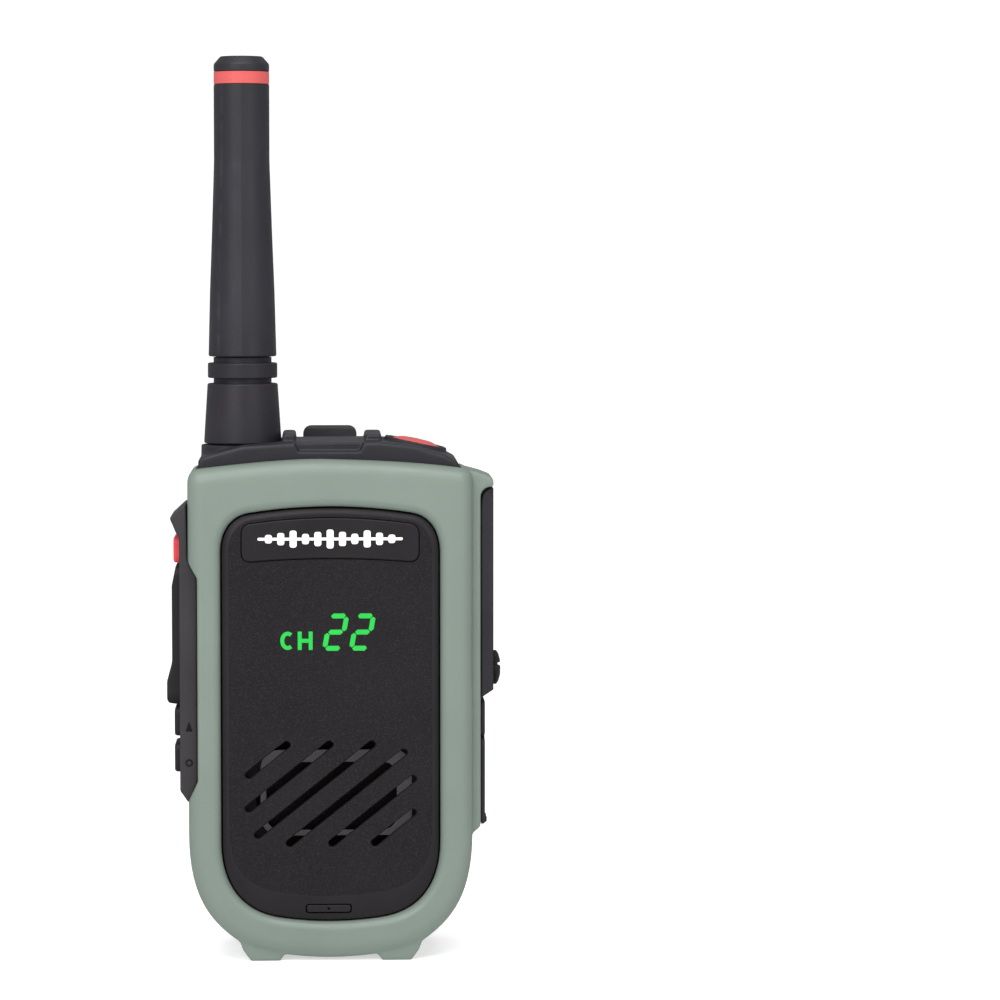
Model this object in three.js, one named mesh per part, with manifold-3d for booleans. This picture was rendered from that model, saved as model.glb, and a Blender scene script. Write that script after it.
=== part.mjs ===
// Two way radio: rubber-framed handheld with stub antenna, removable battery and belt clip.
// Millimetres. +X is the viewer's right, -Y is the front, +Z is up, feet stand on z = 0.
import * as THREE from "three";
import { mergeVertices } from "three/addons/utils/BufferGeometryUtils.js";
import Module from "manifold-3d";

const wasm = await Module();
wasm.setup();

// ---------- colours ----------
const SAGE = 0x8c9f92;
const WHITE = 0xf2f2f2;
const CORAL = 0xe05a62;
const GREEN_LIGHT = 0x24dc5e;
const BLACK = 0x322f33;
const BADGE_BLACK = 0x38343a;
const CASE_BLACK = 0x2e2d30;
const SOCKET_BLACK = 0x2a2a2c;
const GREY_BLACK = 0x45424a;
const SATIN_BLACK = 0x3c3a3e;
const RUBBER_BLACK = 0x3a383c;
const SILICONE = 0x202022;
const STEEL = 0xb4b6ba;
const BRASS = 0xb8963e;
const COPPER = 0xb87344;
const ALLOY = 0x9a9c9f;
const BOARD_GREEN = 0x1f5a38;
const SLEEVE = 0x6c7f8a;

// ---------- driving dimensions ----------
const GAP = 0.3; // clearance between neighbouring pieces
const SLIDE_GAP = 0.15; // clearance round a piece that slides or turns in a hole

const HALF_WIDTH = 30.1; // rubber frame, side to centre
const FRAME_TOP = 106.6;
const CORNER_START = 27; // height where the lower corners begin
const CORNER = { side: 14, lowX: 25.9, lowZ: 8.4, footX: 19.5, footZ: 4 }; // curve down to the feet
const FOOT = { inner: 10.8, outer: 17, arch: 1.2 };
const FRONT = -18; // front plane of the frame
const LIP_BACK = -15; // back of the frame's front lip
const FRAME_BACK = 5.6;
const WALL = 2.9; // frame wall round the case
const CASE_TOP = 102.6;

const PANEL_HALF = 23.2; // opening in the frame's front
const PANEL_MIDDLE = 52.6;
const PANEL_HALF_HEIGHT = 44.1;
const PANEL_FRONT = -17.2;
const PANEL_BACK = -15;

const CASE_FRONT = -14.7;
const CASE_SKIN = 1.6;
const CASE_BACK = 3.7;
const CHASSIS = { inset: WALL + 0.8, top: 97.8, front: 4, back: 5.4 };
const BOARD = { inset: WALL + 2.8, top: 97, front: -4, back: -2.4 };
const SHIELD = { half: 16, low: 56, high: 90, back: 1.6, skin: 0.6 };
const CONTACTS = { half: 8, low: 16, high: 24, pad: 5 }; // battery contact block

const BADGE = { half: 18.7, low: 85, high: 92.9, r: 2.1, front: -17.4, back: -16.7 };
const EMBLEM = { pitch: 2.6, bar: 1.5, line: 0.5, half: 15.3, middle: 89.9, front: -17.75, back: -17.5 };
const MIC = { x: -0.5, z: 11.25, half: 4.65, halfHeight: 0.78, hole: 0.45 };

const SPEAKER_Z = 35.7;
const SPEAKER_R = 17;
const SLOT_ANGLE = THREE.MathUtils.degToRad(38.5);
const SLOT_PITCH = 5.6;
const SLOT_WIDTH = 1.6;
const SLOT_COUNT = 6;
const SLOT_FIELD = { x: 18, z: 11, diagonal: 25.4 };

const DIGIT = { w: 4.5, h: 7.9, t: 1.05, slant: Math.tan(THREE.MathUtils.degToRad(10.2)) };
const DIGIT_BASE = 66.2;
const DIGIT_LEFTS = [-1.85, 3.8];
const LETTER = { w: 3.15, h: 3.9, t: 0.85 };
const LETTER_BASE = 66.4;
const LETTER_LEFTS = [-10.6, -6.9];

const ANTENNA = { x: -18.7, y: 2, seat: 109.3, boss: 8.9, whip: 127.9, band: 186, tip: 192 };
const STUD_R = 3;
const JACK = { low: 98.2, high: 108, flange: 99.6, r: 4.5, flangeR: 6 };

const COVER_DEPTH = { front: -13.2, back: 15.7 }; // top cover
const SHELF = { half: 25.8, front: 6.2, low: 98.4 }; // its back skirt above the battery
const RAILS = { front: -8, back: 12.4, low: 107, high: 111.6 };
const TOP_BUTTON = { x: 18.4, y: 0, z: 109.3, r: 5.6, tilt: THREE.MathUtils.degToRad(12) };
const TOP_SWITCH = { x: 17.9, half: 3, low: 102.6, high: 105.4 };

const BUTTON_FRONT = -12.5; // side buttons, front and back edges
const BUTTON_BACK = -1.5;
const BUTTON_INNER = -29.1;
const HOUSING = { outer: -31.9, inner: -28.5, front: -15.5, back: 1 };
const DOME = { face: -28.3, back: -27.9, r: 2.2 };
const PTT = { low: 54.2, high: 84.1, r: 2.4, face: -33.6, bulge: -34.7 };
const SIDE_BUTTONS = [
  { name: "alert_button", low: 84.5, high: 90.1, face: -33.2, color: CORAL, r: 1.6 },
  { name: "upper_side_button", low: 47.6, high: 53.7, face: -33.1, color: SATIN_BLACK, r: 1.4 },
  { name: "lower_side_button", low: 39.9, high: 46.1, face: -33.1, color: SATIN_BLACK, r: 1.4 },
];

const POD = { face: 31.9, ear: 34.65, front: -14, back: 1, low: 26.6, earLow: 100.6, fillet: 2.1 };
const COVER_HINGE = { x: 34.69, z: 97.75, r: 2.45 };
const THUMB = { y: -6.6, z: 61.5, r: 3.65, shank: 1.5, head: 34.85, top: 36.35 };
const FLAP = { y0: -11.5, y1: -1.5, low: 28.1, high: 46.8, inner: 32.1, outer: 32.9 };
const ANCHOR = { low: 47.3, high: 54.8, stemY: -6.5, stemZ: 51, stemR: 1.4 };
const CHARGE = { y: -6.5, z: 37.45, halfWidth: 1.6, halfHeight: 4.5, inner: 27.6, outer: 30.9 };
const CONNECTOR = { y0: -11.2, y1: -2, low: 71, high: 93, pins: 5, pitch: 4 };

const BATTERY = { half: 25.8, low: 7, high: 98, front: 6.2, back: 16, skin: 1.6 };
const BATTERY_FOOT = { front: 10, back: 15 }; // behind the frame's feet, so the radio stands steadily
const CELL = { x: 12, half: 11.2, low: 12, high: 90, front: 7.9, back: 14 };
const LATCH = { half: 8, low: 89.5, high: 97, tongue: 4, tongueTop: 100.2 };
const CLIP = { half: 5.9, wide: 9, top: 112, pinY: 20.6, pinZ: 75.5, pinR: 1 };

const SCREWS = [
  [-21, 22],
  [21, 22],
  [-21, 93],
  [21, 93],
];
const SCREW = { head: 2, shank: 1.15, front: -8.5, back: 5.7 };

// ---------- helpers ----------
function toSolid(geometry) {
  const plain = geometry.index ? geometry.toNonIndexed() : geometry.clone();
  plain.deleteAttribute("normal");
  plain.deleteAttribute("uv");
  const merged = mergeVertices(plain, 1e-4);
  return new wasm.Manifold(
    new wasm.Mesh({
      numProp: 3,
      vertProperties: merged.attributes.position.array,
      triVerts: new Uint32Array(merged.index.array),
    }),
  );
}

function toGeometry(solid) {
  const mesh = solid.getMesh();
  const geometry = new THREE.BufferGeometry();
  const positions = new Float32Array(mesh.vertProperties);
  geometry.setAttribute("position", new THREE.BufferAttribute(positions, 3));
  geometry.setIndex(new THREE.BufferAttribute(new Uint32Array(mesh.triVerts), 1));
  const flat = geometry.toNonIndexed();
  flat.computeVertexNormals();
  return flat;
}

function cut(base, ...tools) {
  return toGeometry(tools.reduce((rest, tool) => rest.subtract(toSolid(tool)), toSolid(base)));
}

function join(first, ...others) {
  return toGeometry(others.reduce((sum, other) => sum.add(toSolid(other)), toSolid(first)));
}

function box(x0, x1, y0, y1, z0, z1) {
  const geometry = new THREE.BoxGeometry(x1 - x0, y1 - y0, z1 - z0);
  return geometry.translate((x0 + x1) / 2, (y0 + y1) / 2, (z0 + z1) / 2);
}

// A shape pushed along one axis from low to high, with rounded edges of the given bevel.
// Along y the shape is drawn in x,z; along x in y,z; along z in x,y.
function slab(axis, shape, low, high, bevel = 0, segments = 2) {
  const geometry = new THREE.ExtrudeGeometry(shape, {
    depth: high - low - 2 * bevel,
    bevelEnabled: bevel > 0,
    bevelThickness: bevel,
    bevelSize: bevel,
    bevelOffset: -bevel,
    bevelSegments: segments,
    curveSegments: 7,
  });
  geometry.translate(0, 0, bevel);
  if (axis === "y") return geometry.rotateX(Math.PI / 2).translate(0, high, 0);
  if (axis === "z") return geometry.translate(0, 0, low);
  const turn = new THREE.Matrix4().makeBasis(
    new THREE.Vector3(0, 1, 0),
    new THREE.Vector3(0, 0, 1),
    new THREE.Vector3(1, 0, 0),
  );
  return geometry.applyMatrix4(turn).translate(low, 0, 0);
}

// A round bar along an axis, centred at (a, b) in the other two axes.
function bar(axis, a, b, r, low, high, sides = 24) {
  const geometry = new THREE.CylinderGeometry(r, r, high - low, sides);
  const middle = (low + high) / 2;
  if (axis === "x") return geometry.rotateZ(Math.PI / 2).translate(middle, a, b);
  if (axis === "y") return geometry.translate(a, middle, b);
  return geometry.rotateX(Math.PI / 2).translate(a, b, middle);
}

// A turned piece about the z axis from [radius, height] points, closed on the axis or on itself.
function turned(profile, sides = 28) {
  const points = profile.map(([r, h]) => new THREE.Vector2(r, h));
  if (profile[0][0] > 0) points.push(points[0].clone());
  return new THREE.LatheGeometry(points, sides).rotateX(Math.PI / 2);
}

// The same, lying along y and centred at (x, z); heights are read as y.
function turnedAlongY(profile, x, z, sides = 32) {
  const points = profile.map(([r, h]) => new THREE.Vector2(r, h));
  if (profile[0][0] > 0) points.push(points[0].clone());
  return new THREE.LatheGeometry(points, sides).translate(x, 0, z);
}

// A closed outline with each [x, y, radius] corner rounded by an arc.
function rounded(corners, steps = 4) {
  const points = [];
  corners.forEach(([x, y, r], i) => {
    const here = new THREE.Vector2(x, y);
    if (!r) {
      points.push(here);
      return;
    }
    const before = corners[(i + corners.length - 1) % corners.length];
    const after = corners[(i + 1) % corners.length];
    const back = new THREE.Vector2(before[0] - x, before[1] - y).normalize();
    const ahead = new THREE.Vector2(after[0] - x, after[1] - y).normalize();
    const half = Math.acos(THREE.MathUtils.clamp(back.dot(ahead), -1, 1)) / 2;
    const bisector = back.clone().add(ahead).normalize();
    const centre = here.clone().addScaledVector(bisector, r / Math.sin(half));
    const start = here.clone().addScaledVector(back, r / Math.tan(half)).sub(centre).angle();
    const end = here.clone().addScaledVector(ahead, r / Math.tan(half)).sub(centre).angle();
    let sweep = end - start;
    if (sweep > Math.PI) sweep -= 2 * Math.PI;
    if (sweep < -Math.PI) sweep += 2 * Math.PI;
    for (let k = 0; k <= steps; k++) {
      const angle = start + (sweep * k) / steps;
      points.push(new THREE.Vector2(centre.x + r * Math.cos(angle), centre.y + r * Math.sin(angle)));
    }
  });
  return new THREE.Shape(points);
}

function roundedBox(axis, a0, a1, b0, b1, low, high, r, bevel = 0, segments = 2) {
  const corners = [
    [a0, b0, r],
    [a1, b0, r],
    [a1, b1, r],
    [a0, b1, r],
  ];
  return slab(axis, rounded(corners, 3), low, high, bevel, segments);
}

const group = (name, x = 0, y = 0, z = 0) => {
  const made = new THREE.Group();
  made.name = name;
  made.position.set(x, y, z);
  return made;
};

function piece(parent, name, geometry, color, roughness, metalness = 0) {
  const material = new THREE.MeshStandardMaterial({ color, roughness, metalness });
  const mesh = new THREE.Mesh(geometry, material);
  mesh.name = name;
  parent.add(mesh);
  return mesh;
}

// ---------- outlines ----------
// The body's outline without feet, shrunk by inset, with its own top height.
function bodyOutline(inset, top) {
  const half = HALF_WIDTH - inset;
  const corner = 3.2;
  const footX = CORNER.footX - 0.64 * inset;
  const footZ = CORNER.footZ + 0.77 * inset;
  const low = [CORNER.lowX - 0.7 * inset, CORNER.lowZ + 0.7 * inset];
  const high = [half, CORNER.side + 0.35 * inset];
  const shape = new THREE.Shape();
  shape.moveTo(-half, CORNER_START);
  shape.lineTo(-half, top - corner);
  shape.quadraticCurveTo(-half, top, -half + corner, top);
  shape.lineTo(half - corner, top);
  shape.quadraticCurveTo(half, top, half, top - corner);
  shape.lineTo(half, CORNER_START);
  shape.bezierCurveTo(high[0], high[1], low[0], low[1], footX, footZ);
  shape.lineTo(-footX, footZ);
  shape.bezierCurveTo(-low[0], low[1], -high[0], high[1], -half, CORNER_START);
  return shape;
}

// The frame's outer outline: crowned top, rounded lower corners, two feet and a shallow arch.
function frameOutline() {
  const shape = new THREE.Shape();
  const half = HALF_WIDTH;
  const { side, lowX, lowZ, footX, footZ } = CORNER;
  const { inner, outer, arch } = FOOT;
  const shoulder = half - 2.6;
  shape.moveTo(-half, CORNER_START);
  shape.lineTo(-half, FRAME_TOP - 5);
  shape.quadraticCurveTo(-half, FRAME_TOP - 2.1, -shoulder, FRAME_TOP - 1.9);
  shape.quadraticCurveTo(-8, FRAME_TOP + 0.4, 0, FRAME_TOP);
  shape.quadraticCurveTo(16, FRAME_TOP - 0.3, shoulder, FRAME_TOP - 1.8);
  shape.quadraticCurveTo(half, FRAME_TOP - 2.2, half, FRAME_TOP - 5);
  shape.lineTo(half, CORNER_START);
  shape.bezierCurveTo(half, side, lowX, lowZ, footX, footZ);
  shape.lineTo(outer + 1.5, footZ / 2);
  shape.lineTo(outer, 0);
  shape.lineTo(inner, 0);
  shape.lineTo(inner - arch, arch);
  shape.quadraticCurveTo(0, -0.1, arch - inner, arch);
  shape.lineTo(-inner, 0);
  shape.lineTo(-outer, 0);
  shape.lineTo(-outer - 1.5, footZ / 2);
  shape.lineTo(-footX, footZ);
  shape.bezierCurveTo(-lowX, lowZ, -half, side, -half, CORNER_START);
  return shape;
}

// The front opening, shrunk towards its centre by inset.
function panelOutline(inset = 0) {
  const across = (x) => x * (1 - inset / PANEL_HALF);
  const up = (z) => PANEL_MIDDLE + (z - PANEL_MIDDLE) * (1 - inset / PANEL_HALF_HEIGHT);
  const shape = new THREE.Shape();
  const curve = (a, b, c, d, e, f) =>
    shape.bezierCurveTo(across(a), up(b), across(c), up(d), across(e), up(f));
  shape.moveTo(across(-PANEL_HALF), up(25.4));
  shape.lineTo(across(-PANEL_HALF), up(87));
  curve(-PANEL_HALF, 91.5, -21, 94.6, -17.45, 95.3);
  shape.quadraticCurveTo(0, up(98.1), across(17.45), up(95.3));
  curve(21, 94.6, PANEL_HALF, 91.5, PANEL_HALF, 87);
  shape.lineTo(across(PANEL_HALF), up(25.4));
  curve(PANEL_HALF, 15.9, 18.5, 10.5, 11, 9.3);
  shape.quadraticCurveTo(0, up(7.6), across(-11), up(9.3));
  curve(-18.5, 10.5, -PANEL_HALF, 15.9, -PANEL_HALF, 25.4);
  return shape;
}

// Badge with arched long sides.
function badgeOutline(grow = 0) {
  const half = BADGE.half + grow;
  const low = BADGE.low - grow;
  const high = BADGE.high + grow;
  const { r } = BADGE;
  const shape = new THREE.Shape();
  shape.moveTo(-half, low + r);
  shape.lineTo(-half, high - r);
  shape.quadraticCurveTo(-half, high, -half + r, high + 0.2);
  shape.quadraticCurveTo(0, high + 2.6, half - r, high + 0.2);
  shape.quadraticCurveTo(half, high, half, high - r);
  shape.lineTo(half, low + r);
  shape.quadraticCurveTo(half, low, half - r, low + 0.1);
  shape.quadraticCurveTo(0, low + 1.5, -half + r, low + 0.1);
  shape.quadraticCurveTo(-half, low, -half, low + r);
  return shape;
}

// ---------- front ----------
// Speaker slots: parallel lines clipped to the slot field.
function slotCutters() {
  const dir = new THREE.Vector2(Math.cos(SLOT_ANGLE), Math.sin(SLOT_ANGLE));
  const normal = new THREE.Vector2(-dir.y, dir.x);
  const inside = (p) =>
    Math.abs(p.x) <= SLOT_FIELD.x &&
    Math.abs(p.y) <= SLOT_FIELD.z &&
    Math.abs(p.x) + Math.abs(p.y) <= SLOT_FIELD.diagonal;
  const cutters = [];
  for (let k = 0; k < SLOT_COUNT; k++) {
    const base = normal.clone().multiplyScalar((k - (SLOT_COUNT - 1) / 2) * SLOT_PITCH);
    const reach = [];
    for (let t = -30; t <= 30; t += 0.1) {
      if (inside(base.clone().addScaledVector(dir, t))) reach.push(t);
    }
    const start = reach[0] + SLOT_WIDTH / 2;
    const end = reach[reach.length - 1] - SLOT_WIDTH / 2;
    const at = base.clone().addScaledVector(dir, (start + end) / 2);
    const half = (end - start) / 2 + SLOT_WIDTH / 2;
    const w = SLOT_WIDTH / 2;
    const shape = roundedBox("y", -half, half, -w, w, -1.5, 1.5, w * 0.98);
    shape.rotateY(-SLOT_ANGLE).translate(at.x, (PANEL_FRONT + PANEL_BACK) / 2, SPEAKER_Z + at.y);
    cutters.push(shape);
  }
  return cutters;
}

// One straight segment with pointed ends between two points, leaning with the digit.
function segmentShape(x0, z0, x1, z1, left, grow) {
  const a = new THREE.Vector2(x0, z0);
  const b = new THREE.Vector2(x1, z1);
  const dir = b.clone().sub(a).normalize();
  const side = new THREE.Vector2(-dir.y, dir.x).multiplyScalar(DIGIT.t / 2 + grow);
  const trim = 0.16 - grow;
  const tip = DIGIT.t * 0.4;
  const along = (p, d) => p.clone().addScaledVector(dir, d);
  const corners = [
    along(a, trim),
    along(a, trim + tip).sub(side),
    along(b, -trim - tip).sub(side),
    along(b, -trim),
    along(b, -trim - tip).add(side),
    along(a, trim + tip).add(side),
  ];
  corners.forEach((p) => {
    p.x += left + p.y * DIGIT.slant;
    p.y += DIGIT_BASE;
  });
  return new THREE.Shape(corners);
}

// The lit strokes: two slanted digits and two small letters.
function litShapes(grow) {
  const m = DIGIT.t / 2;
  const right = DIGIT.w - m;
  const top = DIGIT.h - m;
  const mid = DIGIT.h / 2;
  const strokes = [
    [m, top, right, top],
    [right, mid, right, top],
    [m, mid, right, mid],
    [m, m, m, mid],
    [m, m, right, m],
  ];
  const shapes = DIGIT_LEFTS.flatMap((left) =>
    strokes.map(([x0, z0, x1, z1]) => segmentShape(x0, z0, x1, z1, left, grow)),
  );
  const { w, h, t } = LETTER;
  const rect = (left, x0, x1, z0, z1) =>
    rounded([
      [left + x0 - grow, LETTER_BASE + z0 - grow, 0],
      [left + x1 + grow, LETTER_BASE + z0 - grow, 0],
      [left + x1 + grow, LETTER_BASE + z1 + grow, 0],
      [left + x0 - grow, LETTER_BASE + z1 + grow, 0],
    ]);
  const [c, hLeft] = LETTER_LEFTS;
  shapes.push(rect(c, 0, t, 0, h), rect(c, t / 2, w, h - t, h), rect(c, t / 2, w, 0, t));
  shapes.push(rect(hLeft, 0, t, 0, h), rect(hLeft, w - t, w, 0, h));
  shapes.push(rect(hLeft, t / 2, w - t / 2, (h - t) / 2, (h + t) / 2));
  return shapes;
}

// The raised right side, with the ear that hides the side cover's hinge.
function podBlock() {
  const ear = rounded([
    [25, POD.low, 0],
    [HALF_WIDTH, POD.low, 0],
    [POD.face, POD.low + 1.5, 0],
    [POD.face, POD.earLow, POD.fillet],
    [POD.ear, POD.earLow, 0],
    [POD.ear, POD.earLow + 1.9, 0.9],
    [27.6, FRAME_TOP - 1.9, 0],
    [25, FRAME_TOP - 1.9, 0],
  ]);
  return slab("y", ear, POD.front, POD.back, 0.6, 2);
}

// The recess that takes the control housing, sloped at both ends.
function housingNotch() {
  const edge = -HALF_WIDTH - 0.1;
  const floor = HOUSING.inner + GAP + 0.1;
  const corners = [
    [edge - 10, 97.7],
    [edge, 97.7],
    [edge, 85.2],
    [floor, 81.6],
    [floor, 38.4],
    [edge, 33.9],
    [edge - 10, 33.9],
  ];
  const outline = new THREE.Shape(corners.map(([x, z]) => new THREE.Vector2(x, z)));
  return slab("y", outline, FRONT - 1, FRAME_BACK + 1);
}

// A pair of blocks, left and right, as wide as the frame's feet.
function footBlocks(front, back, high) {
  const { inner, outer } = FOOT;
  return [box(-outer, -inner, front, back, 0, high), box(inner, outer, front, back, 0, high)];
}

function bumperFrame() {
  const inner = HALF_WIDTH - WALL;
  const past = POD.face + 1;
  const { y, z, halfWidth, halfHeight } = CHARGE;
  const edge = 1.4;
  const block = slab("y", frameOutline(), FRONT, FRAME_BACK, edge, 3);
  return cut(
    join(block, podBlock(), ...footBlocks(FRONT + edge, FRAME_BACK, CORNER.footZ)),
    slab("y", panelOutline(), FRONT - 1, LIP_BACK + 1),
    slab("y", bodyOutline(WALL, CASE_TOP), LIP_BACK, FRAME_BACK + 1),
    housingNotch(),
    box(-28.3, 27.8, COVER_DEPTH.front - GAP, FRAME_BACK + 1, 101, FRAME_TOP + 5),
    box(-inner - 3, -inner + 1, -13.5, -1, 39.5, 94.5),
    box(
      inner - 1,
      past,
      CONNECTOR.y0 - GAP,
      CONNECTOR.y1 + GAP,
      CONNECTOR.low - GAP,
      CONNECTOR.high + GAP,
    ),
    box(
      inner - 1,
      past,
      y - halfWidth - GAP,
      y + halfWidth + GAP,
      z - halfHeight - GAP,
      z + halfHeight + GAP,
    ),
    bar("x", THUMB.y, THUMB.z, 3.2, inner - 1, past, 20),
    bar("x", ANCHOR.stemY, ANCHOR.stemZ, ANCHOR.stemR + GAP, 29, past, 16),
  );
}

function frontPanel() {
  const face = slab("y", panelOutline(0.6), PANEL_FRONT, PANEL_BACK, 0.7, 2);
  const { x, z, half, halfHeight } = MIC;
  const port = [x - half - GAP, x + half + GAP, z - halfHeight - GAP, z + halfHeight + GAP];
  return cut(
    face,
    slab("y", badgeOutline(GAP), FRONT, BADGE.back + GAP),
    roundedBox("y", ...port, FRONT, PANEL_BACK + 1, 0.7),
    ...slotCutters(),
    ...litShapes(0.1).map((shape) => slab("y", shape, FRONT, PANEL_BACK + 1)),
  );
}

function lightGuide() {
  const plate = box(-11.7, 10.9, -14.6, -13.9, 65.2, 75);
  return join(plate, ...litShapes(0).map((shape) => slab("y", shape, PANEL_FRONT + 0.1, -14.2)));
}

// A voice-wave emblem: bars on one thin centre line.
function emblem() {
  const bars = [1.8, 2.6, 3.6, 2.2, 3.0, 4.0, 3.0, 2.2, 3.6, 2.6, 1.8];
  const { pitch, bar: width, line, half, middle, front, back } = EMBLEM;
  const strokes = bars.map((height, i) => {
    const x = (i - (bars.length - 1) / 2) * pitch;
    return box(x - width / 2, x + width / 2, front, back, middle - height / 2, middle + height / 2);
  });
  return join(box(-half, half, front, back, middle - line / 2, middle + line / 2), ...strokes);
}

function buildFront(root) {
  piece(root, "bumper_frame", bumperFrame(), SAGE, 0.6);
  piece(root, "front_panel", frontPanel(), BLACK, 0.55);
  const badge = slab("y", badgeOutline(), BADGE.front, BADGE.back, 0.2, 1);
  piece(root, "badge_inlay", badge, BADGE_BLACK, 0.4);
  piece(root, "badge_emblem", emblem(), WHITE, 0.4);
  const { x, z, half, halfHeight, hole } = MIC;
  const port = [x - half, x + half, z - halfHeight, z + halfHeight];
  const insert = cut(
    roundedBox("y", ...port, PANEL_FRONT - 0.1, PANEL_BACK - 0.1, 0.5, 0.2, 1),
    bar("y", x, z, hole, FRONT - 1, PANEL_BACK + 1, 10),
  );
  piece(root, "microphone_insert", insert, BADGE_BLACK, 0.5);
  piece(root, "light_guide", lightGuide(), GREEN_LIGHT, 0.35);
}

// ---------- top ----------
// A round tool standing on the top button's tilted axis.
function onButtonAxis(r, low, high) {
  const tool = bar("z", 0, 0, r, low, high, 32).rotateY(TOP_BUTTON.tilt);
  return tool.translate(TOP_BUTTON.x, TOP_BUTTON.y, TOP_BUTTON.z);
}

function atAntenna(r, low, high, sides = 32) {
  return bar("z", ANTENNA.x, ANTENNA.y, r, low, high, sides);
}

function topCover() {
  const profile = rounded([
    [-28, 103.3, 0],
    [-27.8, 106.8, 0.8],
    [-23.1, 108.1, 2],
    [-18.6, 109.3, 2],
    [-8.1, 109.95, 0],
    [10.5, 110.1, 4],
    [17.8, 109.3, 3],
    [24.4, 107.3, 2],
    [27.3, 105.75, 1],
    [27.5, 103.3, 0],
  ]);
  const { front, back, low, high } = RAILS;
  const block = join(
    slab("y", profile, COVER_DEPTH.front, COVER_DEPTH.back, 0.6, 2),
    roundedBox("y", -10.2, -7.3, low, high, front, back, 0.5, 0.4, 1),
    roundedBox("y", 7.4, 11, low, high, front, back, 0.5, 0.4, 1),
    onButtonAxis(TOP_BUTTON.r + 1.3, -4, 0.3),
    atAntenna(ANTENNA.boss, 104, ANTENNA.seat - GAP),
    box(-SHELF.half, SHELF.half, SHELF.front, COVER_DEPTH.back - 0.6, SHELF.low, 104.5),
  );
  const notch = rounded([
    [-7.9, 110.6, 0],
    [-6.7, 108.1, 0],
    [6.3, 108.1, 0],
    [7.6, 110.6, 0],
    [7.6, 114, 0],
    [-7.9, 114, 0],
  ]);
  return cut(
    block,
    onButtonAxis(TOP_BUTTON.r + SLIDE_GAP, -9, 2),
    slab("y", notch, COVER_DEPTH.front - 1, -11.4),
    atAntenna(ANTENNA.boss + 0.1, ANTENNA.seat - GAP - 0.1, ANTENNA.seat + 3),
    atAntenna(7.2, JACK.high + 0.2, ANTENNA.seat + 3),
    atAntenna(JACK.r + GAP, JACK.flange, ANTENNA.seat + 3, 24),
    atAntenna(JACK.flangeR + GAP, JACK.low - 1, JACK.flange + GAP, 24),
    box(-8, 25.4, -11.4, FRAME_BACK, 100, 106),
  );
}

function buildTop(root) {
  piece(root, "top_cover", topCover(), GREY_BLACK, 0.55);
  const jack = cut(
    join(atAntenna(JACK.r, JACK.low, JACK.high, 24), atAntenna(JACK.flangeR, JACK.low, JACK.flange, 6)),
    atAntenna(STUD_R + 0.1, JACK.flange - 0.2, JACK.high + 2),
  );
  piece(root, "antenna_jack", jack, BRASS, 0.35, 1);

  const button = group("top_button_group", TOP_BUTTON.x, TOP_BUTTON.y, TOP_BUTTON.z);
  button.rotation.y = TOP_BUTTON.tilt;
  root.add(button);
  const { r } = TOP_BUTTON;
  const dome = turned([
    [0, -2.6],
    [1.2, -2.6],
    [1.2, -1.4],
    [r, -1.4],
    [r, -0.1],
    [r - 0.5, 0.35],
    [r * 0.6, 0.85],
    [0, 1.05],
  ]);
  piece(button, "top_button", dome, CORAL, 0.45);
  const { x, half, low, high } = TOP_SWITCH;
  piece(root, "top_switch", box(x - half, x + half, -half, half, low, high), SOCKET_BLACK, 0.5);
}

// ---------- antenna ----------
function helix(turns, r, low, high, wire, steps) {
  const points = [];
  for (let i = 0; i <= turns * steps; i++) {
    const angle = (i / steps) * 2 * Math.PI;
    const z = low + ((high - low) * i) / (turns * steps);
    points.push(new THREE.Vector3(r * Math.cos(angle), r * Math.sin(angle), z));
  }
  const path = new THREE.CatmullRomCurve3(points);
  const ring = new THREE.Shape();
  ring.absarc(0, 0, wire, 0, 2 * Math.PI);
  return new THREE.ExtrudeGeometry(ring, {
    steps: turns * steps,
    curveSegments: 3,
    bevelEnabled: false,
    extrudePath: path,
  });
}

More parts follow.
